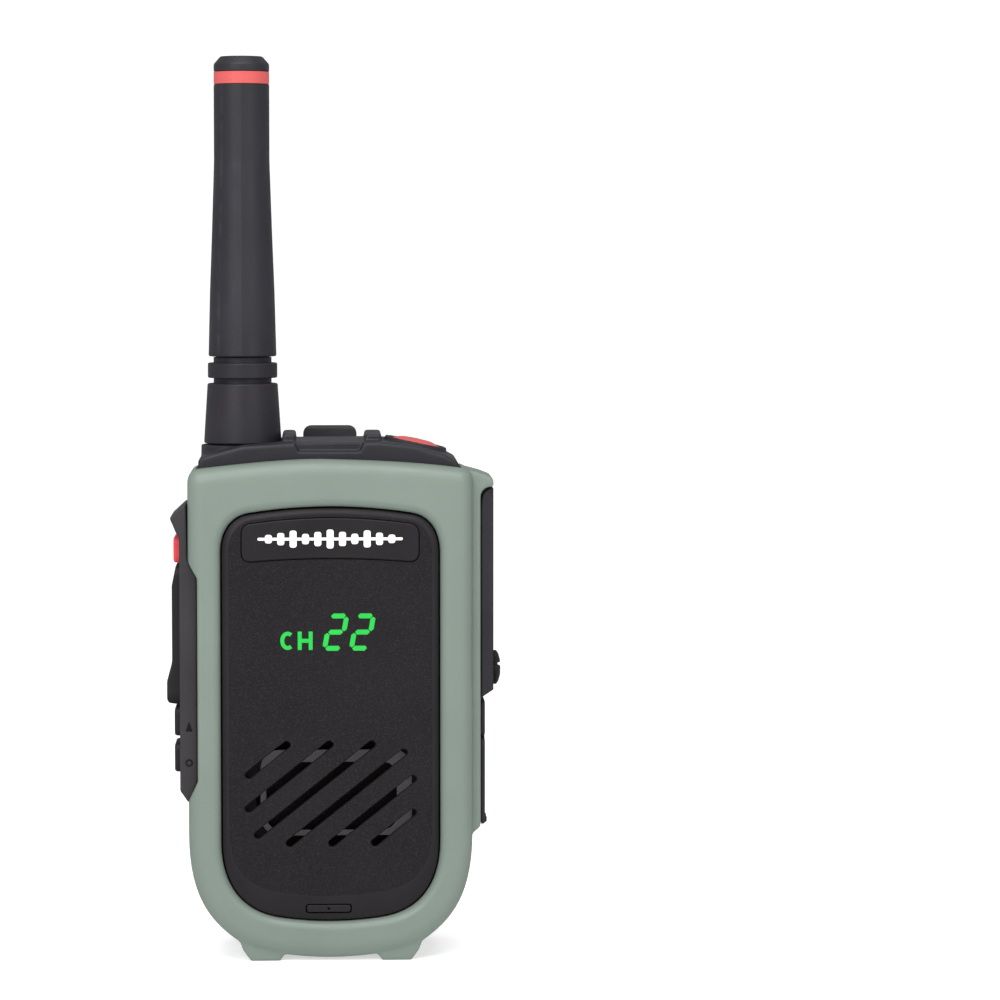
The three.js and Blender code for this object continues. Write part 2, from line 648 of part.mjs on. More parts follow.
function buildAntenna(root) {
  const antenna = group("antenna", ANTENNA.x, ANTENNA.y, 0);
  root.add(antenna);
  const whip = turned([
    [4.2, ANTENNA.whip],
    [7.28, ANTENNA.whip],
    [6.91, 142],
    [6.44, 154.3],
    [5.94, 169.6],
    [5.94, ANTENNA.band - 0.1],
    [2.9, ANTENNA.band - 0.1],
    [2.9, 183],
    [4.2, 183],
  ]);
  piece(antenna, "antenna_whip", whip, SATIN_BLACK, 0.6);
  const band = turned([
    [3, ANTENNA.band + 0.1],
    [5.92, ANTENNA.band + 0.1],
    [5.92, ANTENNA.band + 2.6],
    [3, ANTENNA.band + 2.6],
  ]);
  piece(antenna, "antenna_band", band, CORAL, 0.5);
  const cap = turned([
    [0, 183.6],
    [2.7, 183.6],
    [2.7, ANTENNA.band + 2.8],
    [5.93, ANTENNA.band + 2.8],
    [5.93, ANTENNA.tip - 1.7],
    [4.5, ANTENNA.tip],
    [0, ANTENNA.tip],
  ]);
  piece(antenna, "antenna_tip_cap", cap, SATIN_BLACK, 0.6);
  const collar = turned([
    [3.4, ANTENNA.seat],
    [8.33, ANTENNA.seat],
    [7.53, 122],
    [6.22, 122.2],
    [6.22, 123.2],
    [7.45, 123.4],
    [7.45, 126.4],
    [6.22, 126.6],
    [6.22, ANTENNA.whip - GAP],
    [4, ANTENNA.whip - GAP],
    [4, 131],
    [3.4, 131],
  ]);
  piece(antenna, "antenna_collar", collar, GREY_BLACK, 0.55);
  const stud = turned([
    [0, 100.2],
    [STUD_R - 0.4, 100.2],
    [STUD_R, 100.8],
    [STUD_R, 120],
    [0, 120],
  ]);
  piece(antenna, "antenna_stud", stud, BRASS, 0.3, 1);
  piece(antenna, "antenna_coil", helix(7, 2.5, 121, 181, 0.35, 10), COPPER, 0.35, 1);
  const seal = turned([
    [5.2, ANTENNA.seat - 0.95],
    [7, ANTENNA.seat - 0.95],
    [7, ANTENNA.seat - SLIDE_GAP],
    [5.2, ANTENNA.seat - SLIDE_GAP],
  ]);
  piece(antenna, "antenna_seal", seal, SILICONE, 0.8);
}

// ---------- left side controls ----------
// The housing's shell, with one well for each button.
function controlHousing() {
  const { outer, inner } = HOUSING;
  const profile = rounded([
    [-HALF_WIDTH - 0.4, 97.4, 0],
    [outer - 2, 94.3, 0.7],
    [outer - 0.5, 90.8, 0],
    [outer, 90.1, 0],
    [outer, 36.3, 0],
    [-HALF_WIDTH - 0.3, 34.4, 0],
    [inner, 38.4, 0],
    [inner, 81.6, 0],
    [-HALF_WIDTH - 0.4, 85, 0],
  ]);
  const shell = join(
    slab("y", profile, HOUSING.front, HOUSING.back, 0.3, 2),
    box(outer + 0.4, inner, -13.2, -1.2, 38.6, 94.2),
  );
  const wells = [...SIDE_BUTTONS, PTT].map(({ low, high, r }) =>
    roundedBox(
      "x",
      BUTTON_FRONT - SLIDE_GAP,
      BUTTON_BACK + SLIDE_GAP,
      low - SLIDE_GAP,
      high + SLIDE_GAP,
      PTT.bulge - 1,
      inner + 1.5,
      r + SLIDE_GAP,
    ),
  );
  return cut(shell, ...wells);
}

// The talk paddle, thicker at its lower end.
function talkPaddle() {
  const { low, high, face, bulge, r } = PTT;
  const profile = rounded([
    [BUTTON_INNER, low, 0],
    [HOUSING.outer, low, 0],
    [bulge + 0.4, low + 0.4, 0],
    [bulge, low + 1.3, 0],
    [bulge, low + 5.1, 2],
    [face, low + 9.2, 3],
    [face, high - 4.4, 2],
    [face + 0.9, high, 0],
    [BUTTON_INNER, high, 0],
  ]);
  const paddle = slab("y", profile, BUTTON_FRONT, BUTTON_BACK, 0.5, 2);
  const round = roundedBox("x", BUTTON_FRONT, BUTTON_BACK, low, high, bulge - 1, BUTTON_INNER + 1, r);
  return toGeometry(toSolid(paddle).intersect(toSolid(round)));
}

function buildSideControls(root) {
  piece(root, "side_control_housing", controlHousing(), GREY_BLACK, 0.6);
  SIDE_BUTTONS.forEach(({ name, low, high, face, color, r }) => {
    const cap = roundedBox("x", BUTTON_FRONT, BUTTON_BACK, low, high, face, BUTTON_INNER, r, 0.4);
    piece(root, name, cap, color, 0.5);
  });
  piece(root, "ptt_button", talkPaddle(), RUBBER_BLACK, 0.65);

  const board = box(-27.85, -27.3, -11.5, -2.5, 39.9, 92);
  piece(root, "side_switch_board", board, BOARD_GREEN, 0.5);
  const depth = (BUTTON_FRONT + BUTTON_BACK) / 2;
  [...SIDE_BUTTONS, { name: "ptt_button", ...PTT }].forEach(({ name, low, high }) => {
    const dome = bar("x", depth, (low + high) / 2, DOME.r, DOME.face, DOME.back, 12);
    piece(root, name.replace("button", "switch"), dome, STEEL, 0.3, 1);
  });
}

// ---------- right side ----------
// Spring contacts behind the side cover, in two columns.
function accessoryConnector() {
  const { y0, y1, low, high, pins, pitch } = CONNECTOR;
  const columns = [y0 + 2.2, y1 - 2.2];
  const contacts = columns.flatMap((y) =>
    Array.from({ length: pins }, (_, row) => bar("x", y, low + 3 + row * pitch, 1, 29.9, 32, 10)),
  );
  return cut(roundedBox("x", y0, y1, low, high, 27.6, 30.9, 0.8), ...contacts);
}

// The side cover hangs on its rounded top corner and is slanted at its lower end.
function accessoryCover() {
  const { x, z, r } = COVER_HINGE;
  const face = POD.ear;
  const arc = [];
  for (let k = 0; k <= 6; k++) {
    const angle = Math.PI / 2 + ((Math.PI / 2) * k) / 6;
    arc.push(new THREE.Vector2(face + r * Math.cos(angle), z + r * Math.sin(angle)));
  }
  const outline = new THREE.Shape([
    ...arc,
    new THREE.Vector2(face - r, ANCHOR.high + 0.7),
    new THREE.Vector2(face, ANCHOR.high + 2.5),
  ]);
  return cut(
    slab("y", outline, POD.front + 1, POD.back - 1.2, 0.35, 2),
    bar("x", THUMB.y, THUMB.z, THUMB.shank + SLIDE_GAP, x - 4, x + 2, 20),
  );
}

// A domed knob on a plain shank, with a coin slot.
function thumbscrew() {
  const { r, shank, head, top } = THUMB;
  const knob = turned(
    [
      [0, 28.2],
      [shank, 28.2],
      [shank, head],
      [r, head],
      [r, head + 0.5],
      [r * 0.85, head + 1],
      [r * 0.5, head + 1.4],
      [0, top],
    ],
    24,
  ).rotateY(Math.PI / 2);
  return cut(knob, box(head + 0.8, top + 1, -r - 1, r + 1, 0.25, 1.25));
}

function usbSocket() {
  const { y, z, halfWidth, halfHeight, inner, outer } = CHARGE;
  const skin = 0.35;
  const shell = cut(
    roundedBox("x", y - halfWidth, y + halfWidth, z - halfHeight, z + halfHeight, inner, outer, 1.5),
    roundedBox(
      "x",
      y - halfWidth + skin,
      y + halfWidth - skin,
      z - halfHeight + skin,
      z + halfHeight - skin,
      inner + 0.6,
      outer + 1,
      1.15,
    ),
  );
  return join(shell, box(inner + 0.2, outer - 0.5, y - skin, y + skin, z - 2.8, z + 2.8));
}

function buildRightSide(root) {
  piece(root, "accessory_connector", accessoryConnector(), SOCKET_BLACK, 0.5);
  const insert = cut(
    bar("x", THUMB.y, THUMB.z, 2.9, 27.6, POD.face - 0.1, 20),
    bar("x", THUMB.y, THUMB.z, 2, 27, POD.face + 1, 20),
  );
  piece(root, "thumbscrew_insert", insert, BRASS, 0.35, 1);
  piece(root, "accessory_cover", accessoryCover(), SATIN_BLACK, 0.6);
  const screw = group("thumbscrew_group", 0, THUMB.y, THUMB.z);
  root.add(screw);
  piece(screw, "thumbscrew", thumbscrew(), SATIN_BLACK, 0.45);
  piece(root, "usb_c_socket", usbSocket(), STEEL, 0.3, 1);

  const { y0, y1, low, high, inner, outer } = FLAP;
  const plug = [CHARGE.y - 1.4, CHARGE.y + 1.4, CHARGE.z - 4.3, CHARGE.z + 4.3];
  const flap = join(
    roundedBox("x", y0, y1, low, high, inner, outer, 2, 0.25, 1),
    roundedBox("x", ...plug, inner - 0.4, inner + 0.4, 1.2),
  );
  piece(root, "charge_flap", flap, RUBBER_BLACK, 0.75);
  const anchor = join(
    roundedBox("x", y0, y1, ANCHOR.low, ANCHOR.high, inner, outer, 1, 0.25, 1),
    bar("x", ANCHOR.stemY, ANCHOR.stemZ, ANCHOR.stemR, 29.3, inner + 0.4, 16),
  );
  piece(root, "charge_flap_anchor", anchor, RUBBER_BLACK, 0.75);
}

// ---------- inside ----------
function frontCase() {
  const outer = WALL + GAP;
  const inner = outer + CASE_SKIN;
  const top = CASE_TOP - GAP;
  const shell = cut(
    slab("y", bodyOutline(outer, top), CASE_FRONT, CASE_BACK),
    slab("y", bodyOutline(inner, top - CASE_SKIN), CASE_FRONT + CASE_SKIN, CASE_BACK + 1),
  );
  const bosses = SCREWS.map(([x, z]) => bar("y", x, z, 2.6, CASE_FRONT + 1, BOARD.front - GAP, 16));
  const before = CASE_FRONT - 1.3;
  const behind = CASE_FRONT + 1.7;
  return cut(
    join(shell, ...bosses),
    ...SCREWS.map(([x, z]) => bar("y", x, z, SCREW.shank + 0.1, SCREW.front - 0.5, BOARD.front, 12)),
    bar("y", 0, SPEAKER_Z, SPEAKER_R - 1, before, behind, 32),
    box(-12.3, 11.3, before, behind, 64.2, 76),
    bar("y", MIC.x, MIC.z, 1, before, behind, 10),
    atAntenna(JACK.flangeR + 0.4, JACK.low, 104, 24),
    box(-26, -20, -1, CASE_BACK + GAP, 99, 104),
  );
}

function buildSpeaker(root) {
  const basket = turnedAlongY(
    [
      [15.2, -12.9],
      [SPEAKER_R, -12.9],
      [SPEAKER_R, -11.4],
      [10, -8.7],
      [4, -8.7],
      [4, -9.5],
      [9.6, -9.5],
      [15.2, -11.8],
    ],
    0,
    SPEAKER_Z,
  );
  piece(root, "speaker_frame", basket, ALLOY, 0.45, 1);
  const cone = turnedAlongY(
    [
      [0, -11.6],
      [4, -11.2],
      [14.6, -12.6],
      [14.6, -12.3],
      [4.2, -10.6],
      [0, -10.9],
    ],
    0,
    SPEAKER_Z,
  );
  piece(root, "speaker_cone", cone, SOCKET_BLACK, 0.8);
  const magnet = bar("y", 0, SPEAKER_Z, 8, -8.4, BOARD.front - 0.7);
  piece(root, "speaker_magnet", magnet, GREY_BLACK, 0.4, 1);
  piece(root, "microphone", bar("y", MIC.x, MIC.z, 2, -12.8, -11, 16), STEEL, 0.4, 1);
}

// Slotted screws that hold the chassis and board to the front case.
function caseScrew(x, z) {
  const { head, shank, front, back } = SCREW;
  const crown = cut(
    bar("y", x, z, head, back - 0.25, back + 0.4, 16),
    roundedBox("y", x - 1, x + 1, z - 0.25, z + 0.25, back + 0.1, back + 1.3, 0.1),
  );
  return join(bar("y", x, z, shank, front, back, 12), crown);
}

function buildInside(root) {
  piece(root, "front_case", frontCase(), CASE_BLACK, 0.6);
  buildSpeaker(root);
  piece(root, "led_display", box(-12, 11, -13.6, -9.5, 64.5, 75.7), SOCKET_BLACK, 0.4);
  const holes = (r, low, high) => SCREWS.map(([x, z]) => bar("y", x, z, r, low, high, 12));
  const board = cut(
    slab("y", bodyOutline(BOARD.inset, BOARD.top), BOARD.front, BOARD.back),
    ...holes(1.7, BOARD.front - 1, BOARD.back + 1),
  );
  piece(root, "main_pcb", board, BOARD_GREEN, 0.5);
  const { half, low, high, back, skin } = SHIELD;
  const can = cut(
    box(-half, half, BOARD.back + GAP, back, low, high),
    box(skin - half, half - skin, BOARD.back - 1, back - skin, low + skin, high - skin),
  );
  piece(root, "rf_shield", can, STEEL, 0.3, 1);
  const block = [-CONTACTS.half, CONTACTS.half, CONTACTS.low, CONTACTS.high];
  const plate = cut(
    slab("y", bodyOutline(CHASSIS.inset, CHASSIS.top), CHASSIS.front, CHASSIS.back),
    ...holes(1.4, CHASSIS.front - 1, CHASSIS.back + 1),
    box(block[0] - GAP, block[1] + GAP, CHASSIS.front - 1, CHASSIS.back + 1, block[2] - GAP, block[3] + GAP),
  );
  piece(root, "chassis", plate, ALLOY, 0.45, 1);
  const contacts = roundedBox("y", ...block, CHASSIS.front - 2, CHASSIS.back + GAP, 0.8);
  piece(root, "contact_block", contacts, SOCKET_BLACK, 0.5);
  SCREWS.forEach(([x, z], i) => {
    piece(root, "case_screw_" + (i + 1), caseScrew(x, z), STEEL, 0.35, 1);
  });
}

// ---------- battery and belt clip ----------
function buildBattery(root) {
  const { half, low, high, front, back, skin } = BATTERY;
  const middle = (CONTACTS.low + CONTACTS.high) / 2;
  const poles = { plus: -CONTACTS.pad, minus: CONTACTS.pad };
  const feet = footBlocks(BATTERY_FOOT.front, BATTERY_FOOT.back, low + skin / 2);
  const tub = cut(
    join(roundedBox("y", -half, half, low, high, front + 1.5, back, 4, 1, 2), ...feet),
    roundedBox("y", skin - half, half - skin, low + skin, high - skin, front, back - skin, 3),
  );
  piece(root, "battery_case", tub, CASE_BLACK, 0.6);
  const windows = Object.values(poles).map((x) =>
    roundedBox("y", x - 2, x + 2, middle - 2, middle + 2, front - 1, front + 2, 0.6),
  );
  const cover = cut(roundedBox("y", -half, half, low, high, front, front + 1.2, 4), ...windows);
  piece(root, "battery_cover", cover, CASE_BLACK, 0.6);
  Object.entries(poles).forEach(([pole, x]) => {
    const pad = roundedBox("y", x - 1.7, x + 1.7, middle - 1.7, middle + 1.7, front - 0.1, front + 1, 0.5);
    piece(root, "battery_contact_" + pole, pad, BRASS, 0.3, 1);
  });
  const seal = cut(
    roundedBox("y", -11, 11, middle - 7, middle + 7, FRAME_BACK, front - 0.1, 2),
    roundedBox("y", -10, 10, middle - 6, middle + 6, FRAME_BACK - 1, front + 1, 1.5),
  );
  piece(root, "battery_seal", seal, SILICONE, 0.8);
  for (const [name, x] of Object.entries({ cell_left: -CELL.x, cell_right: CELL.x })) {
    const sides = [x - CELL.half, x + CELL.half, CELL.low, CELL.high];
    const cell = roundedBox("y", ...sides, CELL.front, CELL.back, 1.2);
    piece(root, name, cell, SLEEVE, 0.5);
  }
  const ribs = [1.5, 3.1, 4.7].map((up) =>
    box(-6, 6, back + 1.2, back + 1.9, LATCH.low + up, LATCH.low + up + 0.6),
  );
  const latch = join(
    roundedBox("y", -LATCH.half, LATCH.half, LATCH.low, LATCH.high, back + GAP, back + 1.5, 1, 0.2, 1),
    box(-LATCH.tongue, LATCH.tongue, back + GAP, back + 1.3, LATCH.high - 1, LATCH.tongueTop),
    ...ribs,
  );
  piece(root, "battery_latch", latch, GREY_BLACK, 0.55);
}

function clipBracket() {
  const { pinY, pinZ, pinR, wide } = CLIP;
  const back = BATTERY.back;
  const thick = 1.8;
  const ears = [-wide, wide - thick].map((x) =>
    roundedBox("x", back + 0.4, pinY + 2, pinZ - 4, pinZ + 4, x, x + thick, 1.6),
  );
  const edge = wide + 1;
  const plate = roundedBox("y", -edge, edge, pinZ - 11.5, pinZ + 10.5, back + GAP, back + 1.5, 2);
  return cut(
    join(plate, ...ears),
    bar("x", pinY, pinZ, pinR + 0.05, -12, 12),
  );
}

// A bent lever: hooked at its lower end, pressed at its narrow upper end.
function clipLever() {
  const { half, wide, top, pinY, pinZ, pinR } = CLIP;
  const profile = rounded(
    [
      [24.2, top, 0.7],
      [26, top, 0.7],
      [25.4, 98, 4],
      [24, 86, 6],
      [23.4, 78, 5],
      [23.2, 50, 5],
      [21.8, 40, 3],
      [18.4, 38, 1],
      [17.6, 40.4, 1],
      [20.6, 43, 2],
      [21.5, 52, 3],
      [21.5, 70, 1],
      [18.6, 73, 1.5],
      [18.6, 78, 1.5],
      [21.8, 80.5, 1],
      [22.2, 86, 3],
      [23.6, 98, 4],
    ],
    3,
  );
  const shoulder = pinZ - 6.5;
  const low = cut(slab("x", profile, -wide, wide, 0.5, 1), box(-12, 12, 10, 30, shoulder, top + 2));
  const high = toSolid(slab("x", profile, -half, half, 0.5, 1));
  const corners = toSolid(roundedBox("y", -half, half, 30, top, 10, 30, 1.6));
  return cut(
    join(toGeometry(high.intersect(corners)), low),
    bar("x", pinY, pinZ, pinR + 0.1, -12, 12),
    box(-3.3, 3.3, 17, pinY + 2, pinZ - 3, pinZ + 3),
  );
}

function buildClip(root) {
  const { pinY, pinZ, pinR } = CLIP;
  piece(root, "belt_clip_bracket", clipBracket(), SATIN_BLACK, 0.5);
  piece(root, "belt_clip_lever", clipLever(), SATIN_BLACK, 0.5);
  piece(root, "clip_pin", bar("x", pinY, pinZ, pinR, -9.4, 9.4), STEEL, 0.3, 1);
  const coil = helix(4, 1.55, -2.6, 2.6, 0.32, 12).rotateY(Math.PI / 2).translate(0, pinY, pinZ);
  piece(root, "clip_spring", coil, STEEL, 0.3, 1);
}

// ---------- assembly ----------
const radio = group("two_way_radio");
buildFront(radio);
buildTop(radio);
buildAntenna(radio);
buildSideControls(radio);
buildRightSide(radio);
buildInside(radio);
buildBattery(radio);
buildClip(radio);

// The origin is the centre of the bounding box's bottom face.
const bounds = new THREE.Box3().setFromObject(radio);
const centre = bounds.getCenter(new THREE.Vector3());
radio.position.set(-centre.x, -centre.y, -bounds.min.z);

export default radio;
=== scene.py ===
import math

import bmesh
import bpy
from mathutils import Matrix, Vector


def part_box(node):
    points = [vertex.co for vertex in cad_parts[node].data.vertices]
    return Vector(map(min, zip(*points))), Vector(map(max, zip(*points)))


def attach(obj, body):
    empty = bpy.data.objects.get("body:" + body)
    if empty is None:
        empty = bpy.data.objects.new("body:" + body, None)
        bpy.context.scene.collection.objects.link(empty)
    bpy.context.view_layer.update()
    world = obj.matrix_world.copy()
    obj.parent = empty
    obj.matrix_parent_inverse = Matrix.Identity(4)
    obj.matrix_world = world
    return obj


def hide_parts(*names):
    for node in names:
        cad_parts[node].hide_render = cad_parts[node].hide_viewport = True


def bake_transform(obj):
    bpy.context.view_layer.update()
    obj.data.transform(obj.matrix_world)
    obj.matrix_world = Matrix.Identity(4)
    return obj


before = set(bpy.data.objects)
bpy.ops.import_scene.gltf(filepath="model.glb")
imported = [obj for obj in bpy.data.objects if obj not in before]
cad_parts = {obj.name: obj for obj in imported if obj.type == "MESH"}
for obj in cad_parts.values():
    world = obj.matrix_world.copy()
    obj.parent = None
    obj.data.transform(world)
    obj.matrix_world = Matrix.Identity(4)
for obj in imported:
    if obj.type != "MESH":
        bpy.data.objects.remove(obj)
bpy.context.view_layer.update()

# ---------------------------------------------------------------------------
# Frame of reference: pieces are drawn in millimetres about the front panel's
# middle, with the frame's front plane at FRONT and its feet at height 0.
# ---------------------------------------------------------------------------
MM = 0.001
FRONT = -18.0
panel_low, panel_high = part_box("front_panel")
frame_low, frame_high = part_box("bumper_frame")
ORIGIN = Vector(((panel_low.x + panel_high.x) / 2, frame_low.y - FRONT * MM, frame_low.z))


def span(node):
    """(x0, x1, y0, y1, z0, z1) of a CAD node in drawing millimetres."""
    low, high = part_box(node)
    low, high = (low - ORIGIN) / MM, (high - ORIGIN) / MM
    return low.x, high.x, low.y, high.y, low.z, high.z


# ---------------------------------------------------------------------------
# Outlines
# ---------------------------------------------------------------------------
def trace(start, *moves, steps=14):
    """A closed outline: each move holds 1 point (line), 2 (quadratic) or 3 (cubic)."""
    points = [start]
    here = start
    for move in moves:
        count = 1 if len(move) == 1 else steps
        controls = [here, *move]
        for k in range(1, count + 1):
            t = k / count
            layer = controls
            while len(layer) > 1:
                layer = [
                    (a[0] + (b[0] - a[0]) * t, a[1] + (b[1] - a[1]) * t)
                    for a, b in zip(layer, layer[1:])
                ]
            points.append(layer[0])
        here = move[-1]
    if math.dist(points[0], points[-1]) < 1e-6:
        points.pop()
    return points


def rounded(corners, steps=7, closed=True):
    """The (x, y, radius) corners joined by lines, each corner rounded by an arc."""
    points = []
    count = len(corners)
    for i, (x, y, r) in enumerate(corners):
        if not r or (not closed and i in (0, count - 1)):
            points.append((x, y))
            continue
        before, after = corners[i - 1], corners[(i + 1) % count]
        back = Vector((before[0] - x, before[1] - y)).normalized()
        ahead = Vector((after[0] - x, after[1] - y)).normalized()
        half = math.acos(max(-1, min(1, back.dot(ahead)))) / 2
        centre = Vector((x, y)) + (back + ahead).normalized() * (r / math.sin(half))
        first = Vector((x, y)) + back * (r / math.tan(half)) - centre
        last = Vector((x, y)) + ahead * (r / math.tan(half)) - centre
        start = math.atan2(first.y, first.x)
        sweep = math.atan2(last.y, last.x) - start
        sweep = (sweep + math.pi) % (2 * math.pi) - math.pi
        for k in range(steps + 1):
            angle = start + sweep * k / steps
            points.append((centre.x + r * math.cos(angle), centre.y + r * math.sin(angle)))
    return points


def rect(x0, x1, y0, y1, r):
    return rounded([(x0, y0, r), (x1, y0, r), (x1, y1, r), (x0, y1, r)])


def inset(points, distance):
    """The outline moved inwards by distance, point for point."""
    area = sum(a[0] * b[1] - b[0] * a[1] for a, b in zip(points, points[1:] + points[:1]))
    side = 1 if area > 0 else -1
    moved = []
    for i, (x, y) in enumerate(points):
        a = Vector((x, y)) - Vector(points[i - 1])
        b = Vector(points[(i + 1) % len(points)]) - Vector((x, y))
        a.normalize()
        b.normalize()
        normal = Vector((-(a.y + b.y), a.x + b.x)) * side
        normal.normalize()
        flat = Vector((-a.y, a.x)) * side
        reach = distance / max(0.5, normal.dot(flat))
        moved.append((x + normal.x * reach, y + normal.y * reach))
    return moved


# ---------------------------------------------------------------------------
# Meshes
# ---------------------------------------------------------------------------
def on_axis(axis, a, b, t):
    return {"x": (t, a, b), "y": (a, t, b), "z": (a, b, t)}[axis]


def mesh_object(verts, faces):
    mesh = bpy.data.meshes.new("piece")
    mesh.from_pydata(verts, [], faces)
    work = bmesh.new()
    work.from_mesh(mesh)
    bmesh.ops.remove_doubles(work, verts=work.verts, dist=1e-4)
    bmesh.ops.recalc_face_normals(work, faces=work.faces)
    work.to_mesh(mesh)
    work.free()
    obj = bpy.data.objects.new("piece", mesh)
    bpy.context.scene.collection.objects.link(obj)
    return obj


def loft(rings, caps=True):
    """A skin through rings of equally many points; the first and last ring are capped."""
    count = len(rings[0])
    verts = [p for ring in rings for p in ring]
    faces = []
    for k in range(len(rings) - 1):
        for i in range(count):
            j = (i + 1) % count
            faces.append((k * count + i, k * count + j, (k + 1) * count + j, (k + 1) * count + i))
    if caps:
        faces.append(tuple(range(count)))
        last = (len(rings) - 1) * count
        faces.append(tuple(range(last, last + count)))
    return mesh_object(verts, faces)


def prism(axis, outline, low, high, edge=0.3, far_edge=None, steps=5):
    """An outline pushed along an axis, with edges rounded by edge (low end) and far_edge."""
    far_edge = edge if far_edge is None else far_edge
    rings = []
    for base, radius, way in ((low, edge, 1), (high, far_edge, -1)):
        ends = []
        for k in range(steps + 1 if radius else 1):
            angle = math.pi / 2 * k / steps
            shrink = radius * (1 - math.sin(angle))
            depth = base + way * radius * (1 - math.cos(angle))
            ends.append([on_axis(axis, a, b, depth) for a, b in inset(outline, shrink)])
        rings.extend(ends if way == 1 else reversed(ends))
    return loft(rings)


def turned(profile, x=0.0, y=0.0, steps=96, radius=None):
    """A piece turned about an upright axis from (radius, height) points."""
    rings = []
    for r, h in profile:
        ring = []
        for i in range(steps):
            angle = 2 * math.pi * i / steps
            reach = radius(r, h, angle) if radius else r
            ring.append((x + reach * math.cos(angle), y + reach * math.sin(angle), h))
        rings.append(ring)
    if profile[0][0] > 0:  # away from the axis, the section closes on itself
        rings.append(rings[0])
    return loft(rings, caps=False)


def turned_along(axis, profile, a, b, steps=96, radius=None):
    """The same about another axis: heights are read along it, centred on (a, b)."""
    obj = turned(profile, steps=steps, radius=radius)
    for v in obj.data.vertices:
        p, q, t = v.co
        v.co = on_axis(axis, p + a, q + b, t)
    obj.data.update()
    fix_normals(obj)
    return obj


def rod(axis, r, low, high, a, b, steps=40):
    """A plain round bar along an axis, centred on (a, b)."""
    return turned_along(axis, [(0, low), (r, low), (r, high), (0, high)], a, b, steps)


def fix_normals(obj):
    work = bmesh.new()
    work.from_mesh(obj.data)
    bmesh.ops.recalc_face_normals(work, faces=work.faces)
    work.to_mesh(obj.data)
    work.free()


def apply_modifiers(obj):
    graph = bpy.context.evaluated_depsgraph_get()
    mesh = bpy.data.meshes.new_from_object(obj.evaluated_get(graph))
    obj.modifiers.clear()
    obj.data = mesh


def discard(*objs):
    for obj in objs:
        bpy.data.objects.remove(obj)


def combine(kind, obj, tools):
    for tool in tools:
        step = obj.modifiers.new("cut", "BOOLEAN")
        step.operation = kind
        step.solver = "MANIFOLD"
        step.object = tool
        apply_modifiers(obj)
    discard(*tools)
    return obj


def carve(obj, *tools):
    return combine("DIFFERENCE", obj, tools)


def merge(obj, *tools):
    return combine("UNION", obj, tools)


def melt(obj, voxel, smooth):
    """Softens every edge, as a mould does: a fine voxel skin, then smoothing."""
    step = obj.modifiers.new("melt", "REMESH")
    step.mode = "VOXEL"
    step.voxel_size = voxel * 1
    soften = obj.modifiers.new("soften", "SMOOTH")
    soften.factor = 0.5
    soften.iterations = smooth
    apply_modifiers(obj)
    return obj


def join(*objs):
    """Several closed shells as one object."""
    work = bmesh.new()
    for obj in objs:
        work.from_mesh(obj.data)
    work.to_mesh(objs[0].data)
    work.free()
    discard(*objs[1:])
    return objs[0]


def tilted(obj, angle, at):
    """Turned about the y axis by angle, then moved to a point."""
    obj.data.transform(Matrix.Translation(at) @ Matrix.Rotation(angle, 4, "Y"))
    return obj


def place(obj, name, body, material, *nodes, hard=True):
    """Turns a drawn piece into a finished one on its body, in place of CAD nodes."""
    obj.name = name
    obj.data.name = name
    obj.data.transform(Matrix.Translation(ORIGIN) @ Matrix.Scale(MM, 4))
    if not any(obj.data.materials):
        obj.data.materials.clear()
        obj.data.materials.append(material)
    for polygon in obj.data.polygons:
        polygon.use_smooth = True
    if hard:
        obj.data.set_sharp_from_angle(angle=math.radians(38))
        weighted = obj.modifiers.new("normals", "WEIGHTED_NORMAL")
        weighted.keep_sharp = True
    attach(obj, body)
    if nodes:
        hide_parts(*nodes)
    return obj


